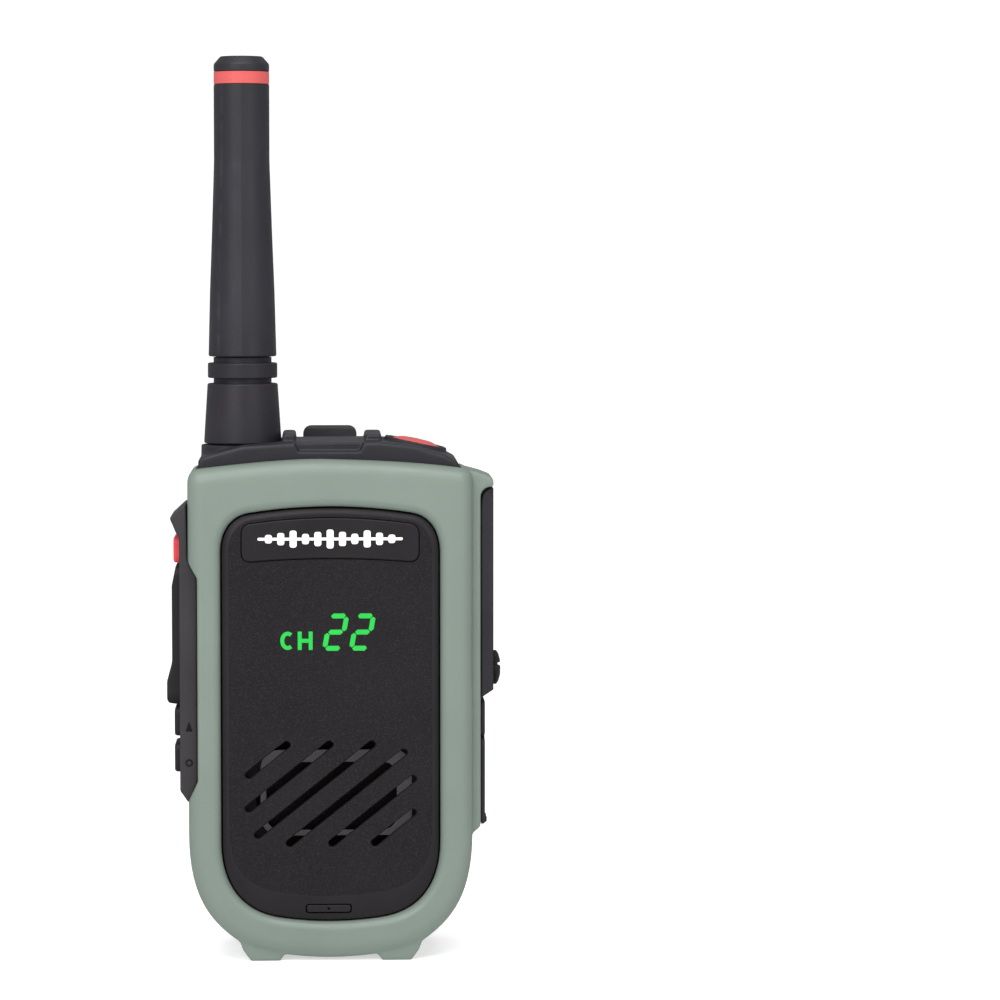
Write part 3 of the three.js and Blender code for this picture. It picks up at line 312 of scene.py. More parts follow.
# ---------------------------------------------------------------------------
# Materials
# ---------------------------------------------------------------------------
def surface(name, color, rough, metal=0.0, grain=2600.0, bump=0.12, vary=0.12,
            speck=None, wear=0.06, specular=0.5, streak=False, coat=0.0):
    """A moulded or machined finish: tone drift, grain, uneven gloss and worn edges."""
    mat = bpy.data.materials.new(name)
    mat.use_nodes = True
    nodes, links = mat.node_tree.nodes, mat.node_tree.links
    shader = nodes["Principled BSDF"]
    shader.inputs["Metallic"].default_value = metal
    shader.inputs["Specular IOR Level"].default_value = specular
    shader.inputs["Coat Weight"].default_value = coat
    where = nodes.new("ShaderNodeTexCoord")
    mapping = nodes.new("ShaderNodeMapping")
    mapping.inputs["Scale"].default_value = (1, 1, 0.04) if streak else (1, 1, 1)
    links.new(where.outputs["Object"], mapping.inputs["Vector"])

    def noise(scale, detail):
        node = nodes.new("ShaderNodeTexNoise")
        node.inputs["Scale"].default_value = scale
        node.inputs["Detail"].default_value = detail
        links.new(mapping.outputs["Vector"], node.inputs["Vector"])
        return node.outputs["Fac"]

    def ramp(value, low, high, out_low, out_high):
        node = nodes.new("ShaderNodeMapRange")
        node.inputs["From Min"].default_value = low
        node.inputs["From Max"].default_value = high
        node.inputs["To Min"].default_value = out_low
        node.inputs["To Max"].default_value = out_high
        links.new(value, node.inputs["Value"])
        return node.outputs["Result"]

    def mix(factor, a, b):
        node = nodes.new("ShaderNodeMix")
        node.data_type = "RGBA"
        for socket, value in (("Factor", factor), ("A", a), ("B", b)):
            index = {"Factor": 0, "A": 6, "B": 7}[socket]
            if hasattr(value, "is_output"):
                links.new(value, node.inputs[index])
            else:
                node.inputs[index].default_value = value
        return node.outputs[2]

    def shade(amount):
        return tuple(min(1.0, c * amount) for c in color) + (1.0,)

    drift = ramp(noise(55, 4), 0.3, 0.7, 0.0, 1.0)
    tone = mix(drift, shade(1 - vary), shade(1 + vary))
    fine = noise(grain, 3)
    if speck:
        dots = ramp(fine, 0.53, 0.63, 0.0, 1.0)
        tone = mix(dots, tone, (*speck, 1.0))
    edges = nodes.new("ShaderNodeNewGeometry").outputs["Pointiness"]
    worn = nodes.new("ShaderNodeMath")
    worn.operation = "MULTIPLY"
    links.new(ramp(edges, 0.53, 0.6, 0.0, wear), worn.inputs[0])
    links.new(ramp(noise(300, 5), 0.4, 0.65, 0.0, 1.0), worn.inputs[1])
    pale = tuple(c + (1 - c) * 0.12 for c in color) + (1.0,)
    tone = mix(worn.outputs[0], tone, pale)
    links.new(tone, shader.inputs["Base Color"])
    gloss = ramp(noise(170, 5), 0.3, 0.7, rough - 0.07, rough + 0.07)
    links.new(gloss, shader.inputs["Roughness"])
    lumps = nodes.new("ShaderNodeBump")
    lumps.inputs["Strength"].default_value = bump
    lumps.inputs["Distance"].default_value = 0.0002
    links.new(fine, lumps.inputs["Height"])
    links.new(lumps.outputs["Normal"], shader.inputs["Normal"])
    return mat


def glowing(name, color, strength):
    """A lit light guide, whose glow varies a little from place to place."""
    mat = surface(name, color, 0.35, bump=0.02, vary=0.05, wear=0)
    nodes, links = mat.node_tree.nodes, mat.node_tree.links
    shader = nodes["Principled BSDF"]
    texture = nodes.new("ShaderNodeTexNoise")
    texture.inputs["Scale"].default_value = 1500
    level = nodes.new("ShaderNodeMapRange")
    level.inputs["To Min"].default_value = strength * 0.85
    level.inputs["To Max"].default_value = strength * 1.15
    links.new(texture.outputs["Fac"], level.inputs["Value"])
    links.new(level.outputs["Result"], shader.inputs["Emission Strength"])
    shader.inputs["Emission Color"].default_value = (*color, 1.0)
    return mat


SAGE = surface("sage_rubber", (0.156, 0.196, 0.168), 0.45, grain=3400, bump=0.06, vary=0.03,
               wear=0.1, specular=0.5)
PANEL = surface("panel_grain", (0.0110, 0.0090, 0.0110), 0.55, grain=3600, bump=0.3, specular=0.15,
                speck=(0.0212, 0.018, 0.0212), wear=0)
PANEL_SMOOTH = surface("panel_smooth", (0.0155, 0.0135, 0.0155), 0.45, bump=0.04, specular=0.2, wear=0)
BADGE = surface("badge_satin", (0.015, 0.0125, 0.0145), 0.42, bump=0.04, specular=0.2, wear=0)
WHITE = surface("white_print", (0.82, 0.82, 0.82), 0.45, bump=0.05, vary=0.02, wear=0)
COVER = surface("cover_black", (0.0195, 0.018, 0.0228), 0.48, bump=0.16, specular=0.25)
HOUSING = surface("housing_black", (0.031, 0.028, 0.032), 0.5, bump=0.12, specular=0.25)
PADDLE = surface("paddle_rubber", (0.0145, 0.0128, 0.015), 0.55, bump=0.14, specular=0.25)
SIGN = surface("dark_sign", (0.006, 0.0065, 0.007), 0.5, bump=0.1, specular=0.15, wear=0)
FLAP = surface("flap_rubber", (0.024, 0.022, 0.025), 0.6, bump=0.12, specular=0.25)
WHIP = surface("whip_rubber", (0.0185, 0.0178, 0.0235), 0.48, grain=2000, bump=0.12, specular=0.3, wear=0.1)
CORAL = surface("coral_plastic", (0.52, 0.085, 0.082), 0.45, grain=3000, bump=0.05, vary=0.03,
                wear=0, specular=0.3)
# A copy of the coral plastic with painted light: a brighter, deeper red stands in for light the alert
# button on the left side does not get.
CORAL_PAINTED_LIGHT = surface("coral_painted_light", (0.66, 0.05, 0.065), 0.45, grain=3000, bump=0.05, vary=0.03,
                    wear=0, specular=0.3)
BATTERY = surface("battery_black", (0.022, 0.02, 0.023), 0.5, grain=2000, bump=0.25, specular=0.25, wear=0)
SEAL = surface("black_silicone", (0.012, 0.012, 0.013), 0.6, bump=0.08, wear=0)
INNER = surface("inner_black", (0.008, 0.0075, 0.008), 0.6, bump=0.1, specular=0.2, wear=0)
RIM_GREY = surface("ring_grey", (0.11, 0.105, 0.11), 0.5, bump=0.1, specular=0.3, wear=0)
STEEL = surface("bright_steel", (0.6, 0.61, 0.63), 0.3, metal=1.0, bump=0.03, streak=True)
BRASS = surface("turned_brass", (0.72, 0.53, 0.25), 0.3, metal=1.0, bump=0.03)
COPPER = surface("copper_wire", (0.75, 0.42, 0.25), 0.3, metal=1.0, bump=0.03)
ALLOY = surface("cast_alloy", (0.5, 0.51, 0.53), 0.45, metal=1.0, grain=1500, bump=0.3)
BOARD = surface("solder_mask", (0.02, 0.15, 0.06), 0.4, bump=0.1, vary=0.2, wear=0)
CELL = surface("cell_sleeve", (0.12, 0.2, 0.26), 0.4, bump=0.03, wear=0)
CONE = surface("coated_cone", (0.012, 0.012, 0.013), 0.8, grain=900, bump=0.4, specular=0.2, wear=0)
LIT = glowing("lit_green", (0.0075, 0.42, 0.045), 0.2)

CAD_FINISH = {
    INNER: ["front_case", "accessory_connector", "contact_block", "top_switch", "led_display",
            "speaker_frame"],
    STEEL: ["ptt_switch", "alert_switch", "upper_side_switch", "lower_side_switch", "rf_shield",
            "usb_c_socket", "microphone", "clip_spring"],
    BRASS: ["antenna_jack", "antenna_stud", "thumbscrew_insert", "battery_contact_plus",
            "battery_contact_minus"],
    COPPER: ["antenna_coil"],
    ALLOY: ["chassis", "speaker_magnet"],
    BOARD: ["side_switch_board", "main_pcb"],
    SEAL: ["antenna_seal", "battery_seal"],
    CELL: ["cell_left", "cell_right"],
    CONE: ["speaker_cone"],
}


def finish_inner_nodes():
    """Pieces kept from the CAD take a finish of their own."""
    for material, names in CAD_FINISH.items():
        for name in names:
            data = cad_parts[name].data
            data.materials.clear()
            data.materials.append(material)


# ---------------------------------------------------------------------------
# Frame and front panel
# ---------------------------------------------------------------------------
EAR = (frame_high.x - ORIGIN.x) / MM
HALF = EAR - 4.55  # the ear stands 4.55 beyond the frame's side
FACE = EAR - 2.75  # outer face of the raised right side
FRAME_ROUND = 3.3  # front edge, across
FRAME_ROUND_DEEP = 3.0  # front edge, front to back
POD_FRONT, POD_BACK = -14.0, 1.0  # the raised right side
OPENING = (panel_high.x - panel_low.x) / MM / 2 + 0.6
THROUGH = -14.0  # a depth behind the panel
FOOT_INNER, FOOT_OUTER = 10.8, 17
FOOT = [(9.5, 2), (FOOT_INNER, 0), (FOOT_OUTER, 0), (18.6, 2.1), (19.7, 5), (14, 5)]
THUMB_Y, THUMB_Z, THUMB_R = -6.6, 61.5, 3.65  # thumbscrew
STEM_Y, STEM_Z = -6.5, 51  # stem that holds the charging flap's anchor


def frame_outline():
    return trace(
        (-HALF, 27),
        [(-HALF, 101.6)],
        [(-HALF, 104.5), (-27.2, 104.7)],
        [(-8, 107), (0, 106.6)],
        [(16, 106.3), (27.2, 104.8)],
        [(HALF, 104.4), (HALF, 101.6)],
        [(HALF, 27)],
        [(HALF, 14), (25.9, 8.4), (19.5, 4)],
        [(16.2, 2.2), (9.6, 1.2)],
        [(0, -0.1), (-9.6, 1.2)],
        [(-16.2, 2.2), (-19.5, 4)],
        [(-25.9, 8.4), (-HALF, 14), (-HALF, 27)],
    )


def opening_outline(grow=0.0):
    """The frame's front opening, in the same order of points as the panel's flat face."""
    points = trace(
        (-OPENING, 25.4),
        [(-OPENING, 87)],
        [(-OPENING, 91.5), (-21, 94.6), (-17.45, 95.3)],
        [(0, 98.1), (17.45, 95.3)],
        [(21, 94.6), (OPENING, 91.5), (OPENING, 87)],
        [(OPENING, 25.4)],
        [(OPENING, 15.9), (18.5, 10.5), (11, 9.3)],
        [(0, 7.6), (-11, 9.3)],
        [(-18.5, 10.5), (-OPENING, 15.9), (-OPENING, 25.4)],
    )
    return inset(points, -grow)


def face_outline():
    """The panel's flat textured face: level with the edge above, crescent-shaped below."""
    half = OPENING - 1.7
    return trace(
        (-half, 27.9),
        [(-half, 87)],
        [(-half, 90.6), (-19.5, 93.2), (-16.6, 93.8)],
        [(0, 96.3), (16.6, 93.8)],
        [(19.5, 93.2), (half, 90.6), (half, 87)],
        [(half, 27.9)],
        [(half, 19.4), (17, 15.8), (11, 14.9)],
        [(0, 13), (-11, 14.9)],
        [(-17, 15.8), (-half, 19.4), (-half, 27.9)],
    )


def at_depth(outline, y):
    return [(x, y, z) for x, z in outline]


def frame_block(front, back):
    """The frame's outer form, with its front edge rounded."""
    outline = frame_outline()
    rings = []
    for k in range(7):
        angle = math.pi / 2 * k / 6
        shrink = FRAME_ROUND * (1 - math.sin(angle))
        depth = front + FRAME_ROUND_DEEP * (1 - math.cos(angle))
        rings.append(at_depth(inset(outline, shrink), depth))
    rings.append(at_depth(outline, back - 0.8))
    rings.append(at_depth(inset(outline, 0.8), back))
    return loft(rings)


def frame_extras(front, back):
    """The raised right side with the ear above it, and two feet."""
    pod_outline = rounded([
        (25, 26.6, 0), (HALF, 26.6, 0.4), (FACE, 28.1, 0.5), (FACE, 100.6, 2.1),
        (EAR, 100.6, 0.3), (EAR, 102.5, 1.2), (31.8, 103.6, 0.6), (27.6, 104.7, 0), (25, 104.7, 0),
    ])
    pod = prism("y", pod_outline, POD_FRONT, POD_BACK, 0)
    feet = [
        prism("y", [(side * x, z) for x, z in FOOT][::side], front + 1.4, back, 0)
        for side in (-1, 1)
    ]
    return [pod, *feet]


def frame_cuts(front, back):
    """Tools for the panel's opening, the case's room, the left cut-out, the top and the windows."""
    opening = loft([
        at_depth(opening_outline(1.7), front - 0.5),
        at_depth(opening_outline(1.4), front + 0.05),
        at_depth(opening_outline(0.5), front + 0.55),
        at_depth(opening_outline(), front + 1.5),
        at_depth(opening_outline(), THROUGH),
    ])
    cavity = prism("y", rounded([
        (-27.2, 4.5, 15), (27.2, 4.5, 15), (27.2, 102.6, 3), (-27.2, 102.6, 3),
    ]), -15, back + 1, 0)
    notch = prism("y", [
        (-40, 97.7), (-HALF - 0.1, 97.7), (-HALF - 0.1, 85.2), (-28.1, 81.6), (-28.1, 38.4),
        (-HALF - 0.1, 33.9), (-40, 33.9),
    ], front - 1, back + 1, 0)
    roof = prism("z", rect(-28.3, 27.8, -13.5, back + 2, 0), 101, 112, 0)
    board_window = prism("x", rect(-13.5, -1, 39.5, 94.5, 0), -30, -27, 0)
    connector_window = prism("x", rect(-11.5, -1.7, 70.7, 93.3, 1), 27, 33, 0)
    charge_window = prism("x", rect(-8.4, -4.6, 32.6, 42.3, 1.2), 27, 33, 0)
    screw_hole = rod("x", 3.2, 27, 33, THUMB_Y, THUMB_Z)
    stem_hole = rod("x", 1.7, 29, 33, STEM_Y, STEM_Z, 32)
    return [opening, cavity, notch, roof, board_window, connector_window, charge_window,
            screw_hole, stem_hole]


def build_frame():
    _, _, front, back, _, _ = span("bumper_frame")
    block = frame_block(front, back)
    merge(block, *frame_extras(front, back))
    carve(block, *frame_cuts(front, back))
    melt(block, 0.32, 7)
    place(block, "frame_rubber", "radio_body", SAGE, "bumper_frame", hard=False)


SLOT_ANGLE = math.radians(38.5)
SLOT_PITCH, SLOT_WIDTH, SLOT_COUNT = 5.6, 1.6, 6
SLOT_FIELD = (18, 11, 25.4)  # half width, half height, and reach towards the corners
SPEAKER_Z = 35.7


def slot_lines():
    """Middle, half length of each speaker slot: parallel lines clipped to the field."""
    direction = Vector((math.cos(SLOT_ANGLE), math.sin(SLOT_ANGLE)))
    normal = Vector((-direction.y, direction.x))
    wide, tall, diagonal = SLOT_FIELD
    lines = []
    for k in range(SLOT_COUNT):
        base = normal * ((k - (SLOT_COUNT - 1) / 2) * SLOT_PITCH)
        inside = []
        for step in range(-300, 301):
            p = base + direction * (step * 0.1)
            if abs(p.x) <= wide and abs(p.y) <= tall and abs(p.x) + abs(p.y) <= diagonal:
                inside.append(step * 0.1)
        middle = base + direction * ((inside[0] + inside[-1]) / 2)
        lines.append((middle, (inside[-1] - inside[0]) / 2))
    return lines


def slot_outline(middle, half, grow):
    """A slot with round ends, made larger all round by grow."""
    r = SLOT_WIDTH / 2 + grow
    turn = Matrix.Rotation(SLOT_ANGLE, 2)
    points = []
    for p in rect(-half - grow, half + grow, -r, r, r * 0.98):
        q = turn @ Vector(p) + middle
        points.append((q.x, q.y + SPEAKER_Z))
    return points


def slot_tool(middle, half, front):
    """Cuts one slot, with a softened edge at the panel's face."""
    outer = slot_outline(middle, half, 0.28)
    mid = slot_outline(middle, half, 0.1)
    inner = slot_outline(middle, half, 0.0)
    return loft([
        at_depth(outer, front - 0.05),
        at_depth(mid, front + 0.12),
        at_depth(inner, front + 0.35),
        at_depth(inner, THROUGH),
    ])


BADGE_FRONT, BADGE_BACK, BADGE_POCKET = -17.4, -16.7, -16.4
PORT_GAP = 0.25  # round the microphone's insert


def badge_outline(grow=0.0):
    r = 2.1
    half = 18.7
    points = trace(
        (-half, 85 + r),
        [(-half, 92.9 - r)],
        [(-half, 92.9), (-half + r, 93.1)],
        [(0, 95.5), (half - r, 93.1)],
        [(half, 92.9), (half, 92.9 - r)],
        [(half, 85 + r)],
        [(half, 85), (half - r, 85.1)],
        [(0, 86.5), (-half + r, 85.1)],
        [(-half, 85), (-half, 85 + r)],
    )
    return inset(points, -grow)


def build_panel():
    _, _, front, back, _, _ = span("front_panel")
    edge = inset(opening_outline(), 0.35)
    flat = face_outline()
    drop = 0.6

    def between(t, y):
        return [(a[0] + (b[0] - a[0]) * t, y, a[1] + (b[1] - a[1]) * t) for a, b in zip(edge, flat)]

    rings = [between(0.0, back), between(0.0, front + drop + 0.15), between(0.03, front + drop)]
    for k in range(1, 9):
        t = k / 8
        rings.append(between(0.03 + 0.97 * t, front + drop * (1 - math.sin(t * math.pi / 2))))
    panel = loft(rings)
    panel.data.materials.append(PANEL_SMOOTH)
    panel.data.materials.append(PANEL)
    largest = max(panel.data.polygons, key=lambda p: (round(-p.center.y, 2), p.area))
    largest.material_index = 1
    x0, x1, _, _, z0, z1 = span("microphone_insert")
    port = rect(x0 - PORT_GAP, x1 + PORT_GAP, z0 - PORT_GAP, z1 + PORT_GAP, 0.7)
    carve(
        panel,
        prism("y", badge_outline(0.2), front - 1, BADGE_POCKET, 0),
        prism("y", port, front - 1, THROUGH, 0),
        *[slot_tool(middle, half, front) for middle, half in slot_lines()],
    )
    place(panel, "panel_face", "radio_body", PANEL, "front_panel")


def build_panel_inserts():
    badge = prism("y", badge_outline(), BADGE_FRONT, BADGE_BACK, 0.28, 0)
    place(badge, "badge_plate", "radio_body", BADGE, "badge_inlay")
    x0, x1, y0, y1, z0, z1 = span("microphone_insert")
    insert = prism("y", rect(x0, x1, z0, z1, 0.55), y0 + 0.25, y1, 0.2, 0)
    hole = rod("y", 0.3, -19, -16, (x0 + x1) / 2, (z0 + z1) / 2, 24)
    place(carve(insert, hole), "microphone_port", "radio_body", PANEL_SMOOTH, "microphone_insert")


def build_speaker_rim():
    """The raised rim round the speaker, seen through the slots: broader above and at the right."""
    low, high = SPEAKER_Z - 9.1, SPEAKER_Z + 9.2
    band = prism("y", rect(-14.9, 17.2, low, high, 4), -14.96, -14.74, 0.05, 0)
    window = prism("y", rect(-13.7, 14, low + 1.2, high - 2.6, 3), -15.5, -14, 0)
    place(carve(band, window), "speaker_rim", "radio_body", RIM_GREY)


def build_emblem():
    """A generic voice wave: rounded bars on a thin line."""
    heights = [1.8, 2.6, 3.6, 2.2, 3.0, 4.0, 3.0, 2.2, 3.6, 2.6, 1.8]
    pitch = 2.6
    _, _, y0, y1, z0, z1 = span("badge_emblem")
    middle = (z0 + z1) / 2
    line = rect(-15.3, 15.3, middle - 0.3, middle + 0.3, 0.25)
    shells = [prism("y", line, y0 + 0.17, y1 + 0.1, 0.02, 0)]
    for i, height in enumerate(heights):
        x = (i - (len(heights) - 1) / 2) * pitch
        bar = rect(x - 0.75, x + 0.75, middle - height / 2, middle + height / 2, 0.5)
        shells.append(prism("y", bar, y0 + 0.1, y1 + 0.1, 0.05, 0))
    place(join(*shells), "badge_wave", "radio_body", WHITE, "badge_emblem")


FIGURE_W, FIGURE_H, FIGURE_T = 4.5, 7.9, 1.05  # width, height, stroke
FIGURE_LEFTS, FIGURE_BASE = (-1.85, 3.8), 66.2
LETTER_W, LETTER_H, LETTER_T = 3.15, 3.9, 0.85
LETTER_LEFTS, LETTER_BASE = (-10.6, -6.9), 66.4
SLANT = math.tan(math.radians(10.2))
DISPLAY_Y = (-17.26, -17.1)


def lit_shape(outline):
    return prism("y", outline, *DISPLAY_Y, 0.02, 0, 2)


def stroke_outline(left, a, b):
    """A slanted bar with pointed ends from a to b, in a figure whose left edge is at left."""
    a, b = Vector(a), Vector(b)
    half = FIGURE_T / 2
    way = (b - a).normalized()
    side = Vector((-way.y, way.x)) * half
    trim, tip = 0.16, half * 0.8
    corners = [
        a + way * trim, a + way * (trim + tip) - side, b - way * (trim + tip) - side,
        b - way * trim, b - way * (trim + tip) + side, a + way * (trim + tip) + side,
    ]
    return rounded([(left + p.x + p.y * SLANT, FIGURE_BASE + p.y, 0.12) for p in corners], 3)


def figure_shapes():
    """Two slanted figures, each made of the same five bars."""
    m = FIGURE_T / 2
    right, top, mid = FIGURE_W - m, FIGURE_H - m, FIGURE_H / 2
    strokes = [
        ((m, top), (right, top)), ((right, mid), (right, top)), ((m, mid), (right, mid)),
        ((m, m), (m, mid)), ((m, m), (right, m)),
    ]
    return [lit_shape(stroke_outline(left, a, b)) for left in FIGURE_LEFTS for a, b in strokes]


def letter_shapes():
    """Two small letters: an open ring, and two posts with a bar between them."""
    w, h, t = LETTER_W, LETTER_H, LETTER_T
    low = LETTER_BASE
    c, k = LETTER_LEFTS
    arc = [math.radians(52 + 256 * i / 20) for i in range(21)]
    outer = [(c + w / 2 * (1 + math.cos(a)), low + h / 2 * (1 + math.sin(a))) for a in arc]
    inner = [(c + w / 2 + (w / 2 - t) * math.cos(a), low + h / 2 + (h / 2 - t) * math.sin(a)) for a in arc]
    boxes = [
        (k, k + t, low, low + h), (k + w - t, k + w, low, low + h),
        (k + t, k + w - t, low + (h - t) / 2, low + (h + t) / 2),
    ]
    return [lit_shape(outer + inner[::-1]), *[lit_shape(rect(*box, 0.1)) for box in boxes]]


def build_display():
    place(join(*figure_shapes(), *letter_shapes()), "display_light", "radio_body", LIT, "light_guide")


# ---------------------------------------------------------------------------
# Top
# ---------------------------------------------------------------------------
TILT = math.radians(12)
BUTTON_AT = (18.4, 0.0, 109.3)
WHIP_X, WHIP_Y = -18.7, 2.0
RAILS = ((-10.2, -7.3), (7.4, 11))
TIP_R = 5.94  # whip, band and tip where they meet
GROOVE_R = 6.22  # grooves in the antenna's base


def about_button(profile):
    """A piece turned about the top button's tilted axis."""
    return tilted(turned(profile), TILT, BUTTON_AT)


def top_cuts():
    """Tools for the button's well, the front notch, the antenna's seat and the room beneath."""
    well = about_button([(0, -9), (5.75, -9), (5.75, 2), (0, 2)])
    notch = prism("y", [
        (-7.9, 110.6), (-6.7, 108.1), (6.3, 108.1), (7.6, 110.6), (7.6, 114), (-7.9, 114),
    ], -15, -11.4, 0)
    seat = turned([
        (0, 100), (4.8, 100), (4.8, 108.2), (7.2, 108.2), (7.2, 108.95), (8.95, 109), (8.95, 113),
        (0, 113),
    ], WHIP_X, WHIP_Y)
    hollow = prism("z", rect(-8, 25.4, -11.4, 5.6, 1), 97, 106, 0)
    flange = turned([(0, 97), (6.2, 97), (6.2, 100), (0, 100)], WHIP_X, WHIP_Y)
    return [well, notch, seat, hollow, flange]


def build_top():
    profile = rounded([
        (-28, 103.3, 0), (-27.8, 106.8, 1.2), (-23.1, 108.1, 3), (-18.6, 109.3, 4),
        (-8.1, 109.95, 0), (10.5, 110.1, 5), (17.8, 109.3, 5), (24.4, 107.3, 3),
        (27.3, 105.75, 1.2), (27.5, 103.3, 0),
    ])
    block = prism("y", profile, -13.2, 15.7, 0.7)
    boss = turned([(0, 104), (9.0, 104), (8.9, 109.0), (0, 109.0)], WHIP_X, WHIP_Y)
    shelf = prism("z", rect(-25.8, 25.8, 6.2, 15.7, 0.6), 98.4, 105, 0)
    rails = [prism("y", rect(x0, x1, 107, 111.6, 0.6), -8, 12.4, 0.5) for x0, x1 in RAILS]
    rim = about_button([(0, -4), (7.0, -4), (6.8, 0.1), (6.5, 0.45), (6.1, 0.3), (0, 0.3)])
    merge(block, boss, shelf, *rails, rim)
    carve(block, *top_cuts())
    melt(block, 0.26, 5)
    place(block, "top_cap", "radio_body", COVER, "top_cover", hard=False)


def build_top_button():
    dome = rounded([
        (0, -2.6, 0), (1.2, -2.6, 0), (1.2, -1.4, 0), (5.6, -1.4, 0), (5.6, 0.0, 0.5),
        (3.4, 0.85, 4), (0, 1.05, 0),
    ], closed=False)
    place(about_button(dome), "top_button_cap", "top_button", CORAL, "top_button")


def build_antenna():
    def seam(r, h, angle):
        """A faint mould seam down the front of the whip."""
        off = abs((angle + math.pi / 2 + math.pi) % (2 * math.pi) - math.pi)
        return r + (0.09 * max(0.0, 1 - off / 0.07) if r > 5.5 else 0.0)

    whip = rounded([
        (4.2, 127.9, 0), (7.28, 127.9, 0.35), (6.91, 142, 60), (6.44, 154.3, 60),
        (TIP_R, 169.6, 60), (TIP_R, 185.95, 0.15), (2.9, 185.95, 0), (2.9, 183, 0), (4.2, 183, 0),
    ], 8)
    place(turned(whip, WHIP_X, WHIP_Y, 180, seam), "antenna_rubber", "antenna", WHIP, "antenna_whip")
    band = rounded([(3, 186.05, 0), (TIP_R, 186.05, 0.12), (TIP_R, 188.65, 0.12), (3, 188.65, 0)])
    place(turned(band, WHIP_X, WHIP_Y), "antenna_ring", "antenna", CORAL, "antenna_band")
    tip = rounded([
        (0, 183.6, 0), (2.7, 183.6, 0), (2.7, 188.75, 0), (TIP_R, 188.75, 0.12), (TIP_R, 190.3, 0.8),
        (4.5, 191.95, 0.7), (0, 192, 0),
    ], closed=False)
    place(turned(tip, WHIP_X, WHIP_Y), "antenna_tip", "antenna", WHIP, "antenna_tip_cap")
    collar = rounded([
        (3.4, 109.3, 0), (8.33, 109.3, 0.3), (7.53, 122.1, 0.35), (GROOVE_R, 122.15, 0.1),
        (GROOVE_R, 123.25, 0.1), (7.45, 123.3, 0.3), (7.45, 126.5, 0.3), (GROOVE_R, 126.55, 0.1),
        (GROOVE_R, 127.7, 0), (4, 127.7, 0), (4, 131, 0), (3.4, 131, 0),
    ])
    place(turned(collar, WHIP_X, WHIP_Y), "antenna_base", "antenna", COVER, "antenna_collar")


# ---------------------------------------------------------------------------
# Left side
# ---------------------------------------------------------------------------
BUTTONS = {
    # the alert button takes the coral copy whose red is painted light
    "alert_button": (84.5, 90.1, -33.2, 1.6, CORAL_PAINTED_LIGHT),
    "upper_side_button": (47.6, 53.7, -33.1, 1.4, PADDLE),
    "lower_side_button": (39.9, 46.1, -33.1, 1.4, PADDLE),
}  # low and high end, outer face, corner radius, finish
PTT_Z = (54.2, 84.1)
PTT_R = 2.4
BUTTON_Y = (-12.5, -1.5)
BUTTON_INNER = -29.1
BUTTON_GAP = 0.15


def build_side_module():
    outline = rounded([
        (-30.45, 97.5, 0.3), (-33.9, 94.3, 0.6), (-32.4, 90.8, 1.5), (-31.9, 90.1, 0.5),
        (-31.9, 36.3, 0.6), (-30.0, 33.6, 0.3), (-28.2, 38.2, 0.3), (-28.2, 81.8, 0.4),
        (-30.2, 85.3, 0.4),
    ], 5)
    shell = prism("y", outline, -15.5, 1, 0.25)
    merge(shell, prism("y", rect(-31.5, -28.5, 38.6, 94.2, 0), -13.2, -1.2, 0))
    y0, y1 = BUTTON_Y[0] - BUTTON_GAP, BUTTON_Y[1] + BUTTON_GAP
    ranges = [(z0, z1, r) for z0, z1, _, r, _ in BUTTONS.values()] + [(*PTT_Z, PTT_R)]
    wells = [
        prism("x", rect(y0, y1, z0 - BUTTON_GAP, z1 + BUTTON_GAP, r + BUTTON_GAP), -36, -27, 0)
        for z0, z1, r in ranges
    ]
    carve(shell, *wells)
    melt(shell, 0.2, 4)
    place(shell, "side_module", "radio_body", HOUSING, "side_control_housing", hard=False)


def build_side_buttons():
    for name, (z0, z1, face, r, material) in BUTTONS.items():
        cap = prism("x", rect(*BUTTON_Y, z0, z1, r), face, BUTTON_INNER, 0.55, 0)
        place(cap, name + "_cap", name, material, name)


def build_talk_paddle():
    low, high = PTT_Z
    profile = rounded([
        (BUTTON_INNER, low, 0), (-31.9, low, 0.4), (-34.3, 54.6, 0.5), (-34.7, 55.5, 0.6),
        (-34.7, 59.3, 3), (-33.6, 63.4, 5), (-33.6, 79.7, 3), (-32.7, high, 0.4),
        (BUTTON_INNER, high, 0),
    ])
    paddle = prism("y", profile, *BUTTON_Y, 0.35)
    trim = prism("x", rect(*BUTTON_Y, *PTT_Z, PTT_R), -35, -28, 0)
    combine("INTERSECT", paddle, [trim])
    melt(paddle, 0.16, 4)
    place(paddle, "talk_paddle", "ptt_button", PADDLE, "ptt_button", hard=False)


def build_signs():
    """Two small raised signs beside the lower buttons: a triangle and a ring."""
    y0, y1 = -15.58, -15.3
    outer = rounded([(-30.7, 49, 0.15), (-29.2, 49, 0.15), (-29.95, 51.3, 0.15)], 3)
    triangle = prism("y", outer, y0, y1, 0.03, 0, 2)
    ring = turned_along("y", [(0.45, y0), (0.8, y0), (0.8, y1), (0.45, y1)], -29.95, 42.3, 40)
    place(join(triangle, ring), "side_signs", "radio_body", SIGN)


# ---------------------------------------------------------------------------
# Right side
# ---------------------------------------------------------------------------
PLUG = 0.4  # how far the flap's plug stands inside its plate
STRAP_Y = (-9, -4)


def build_side_cover():
    x, z, r = EAR, 97.75, 2.45  # the rounded top corner
    arc = []
    for k in range(13):
        angle = math.pi / 2 + math.pi / 2 * k / 12
        arc.append((x + r * math.cos(angle), z + r * math.sin(angle)))
    inner = FACE + 0.08
    outline = [*arc, (inner, z - 1.3), (inner, 55.5), (x, 57.3)]
    cover = prism("y", outline, -13, -0.2, 0.45)
    hole = rod("x", 1.65, 30, 37, THUMB_Y, THUMB_Z)
    place(carve(cover, hole), "side_cover", "accessory_cover", COVER, "accessory_cover")


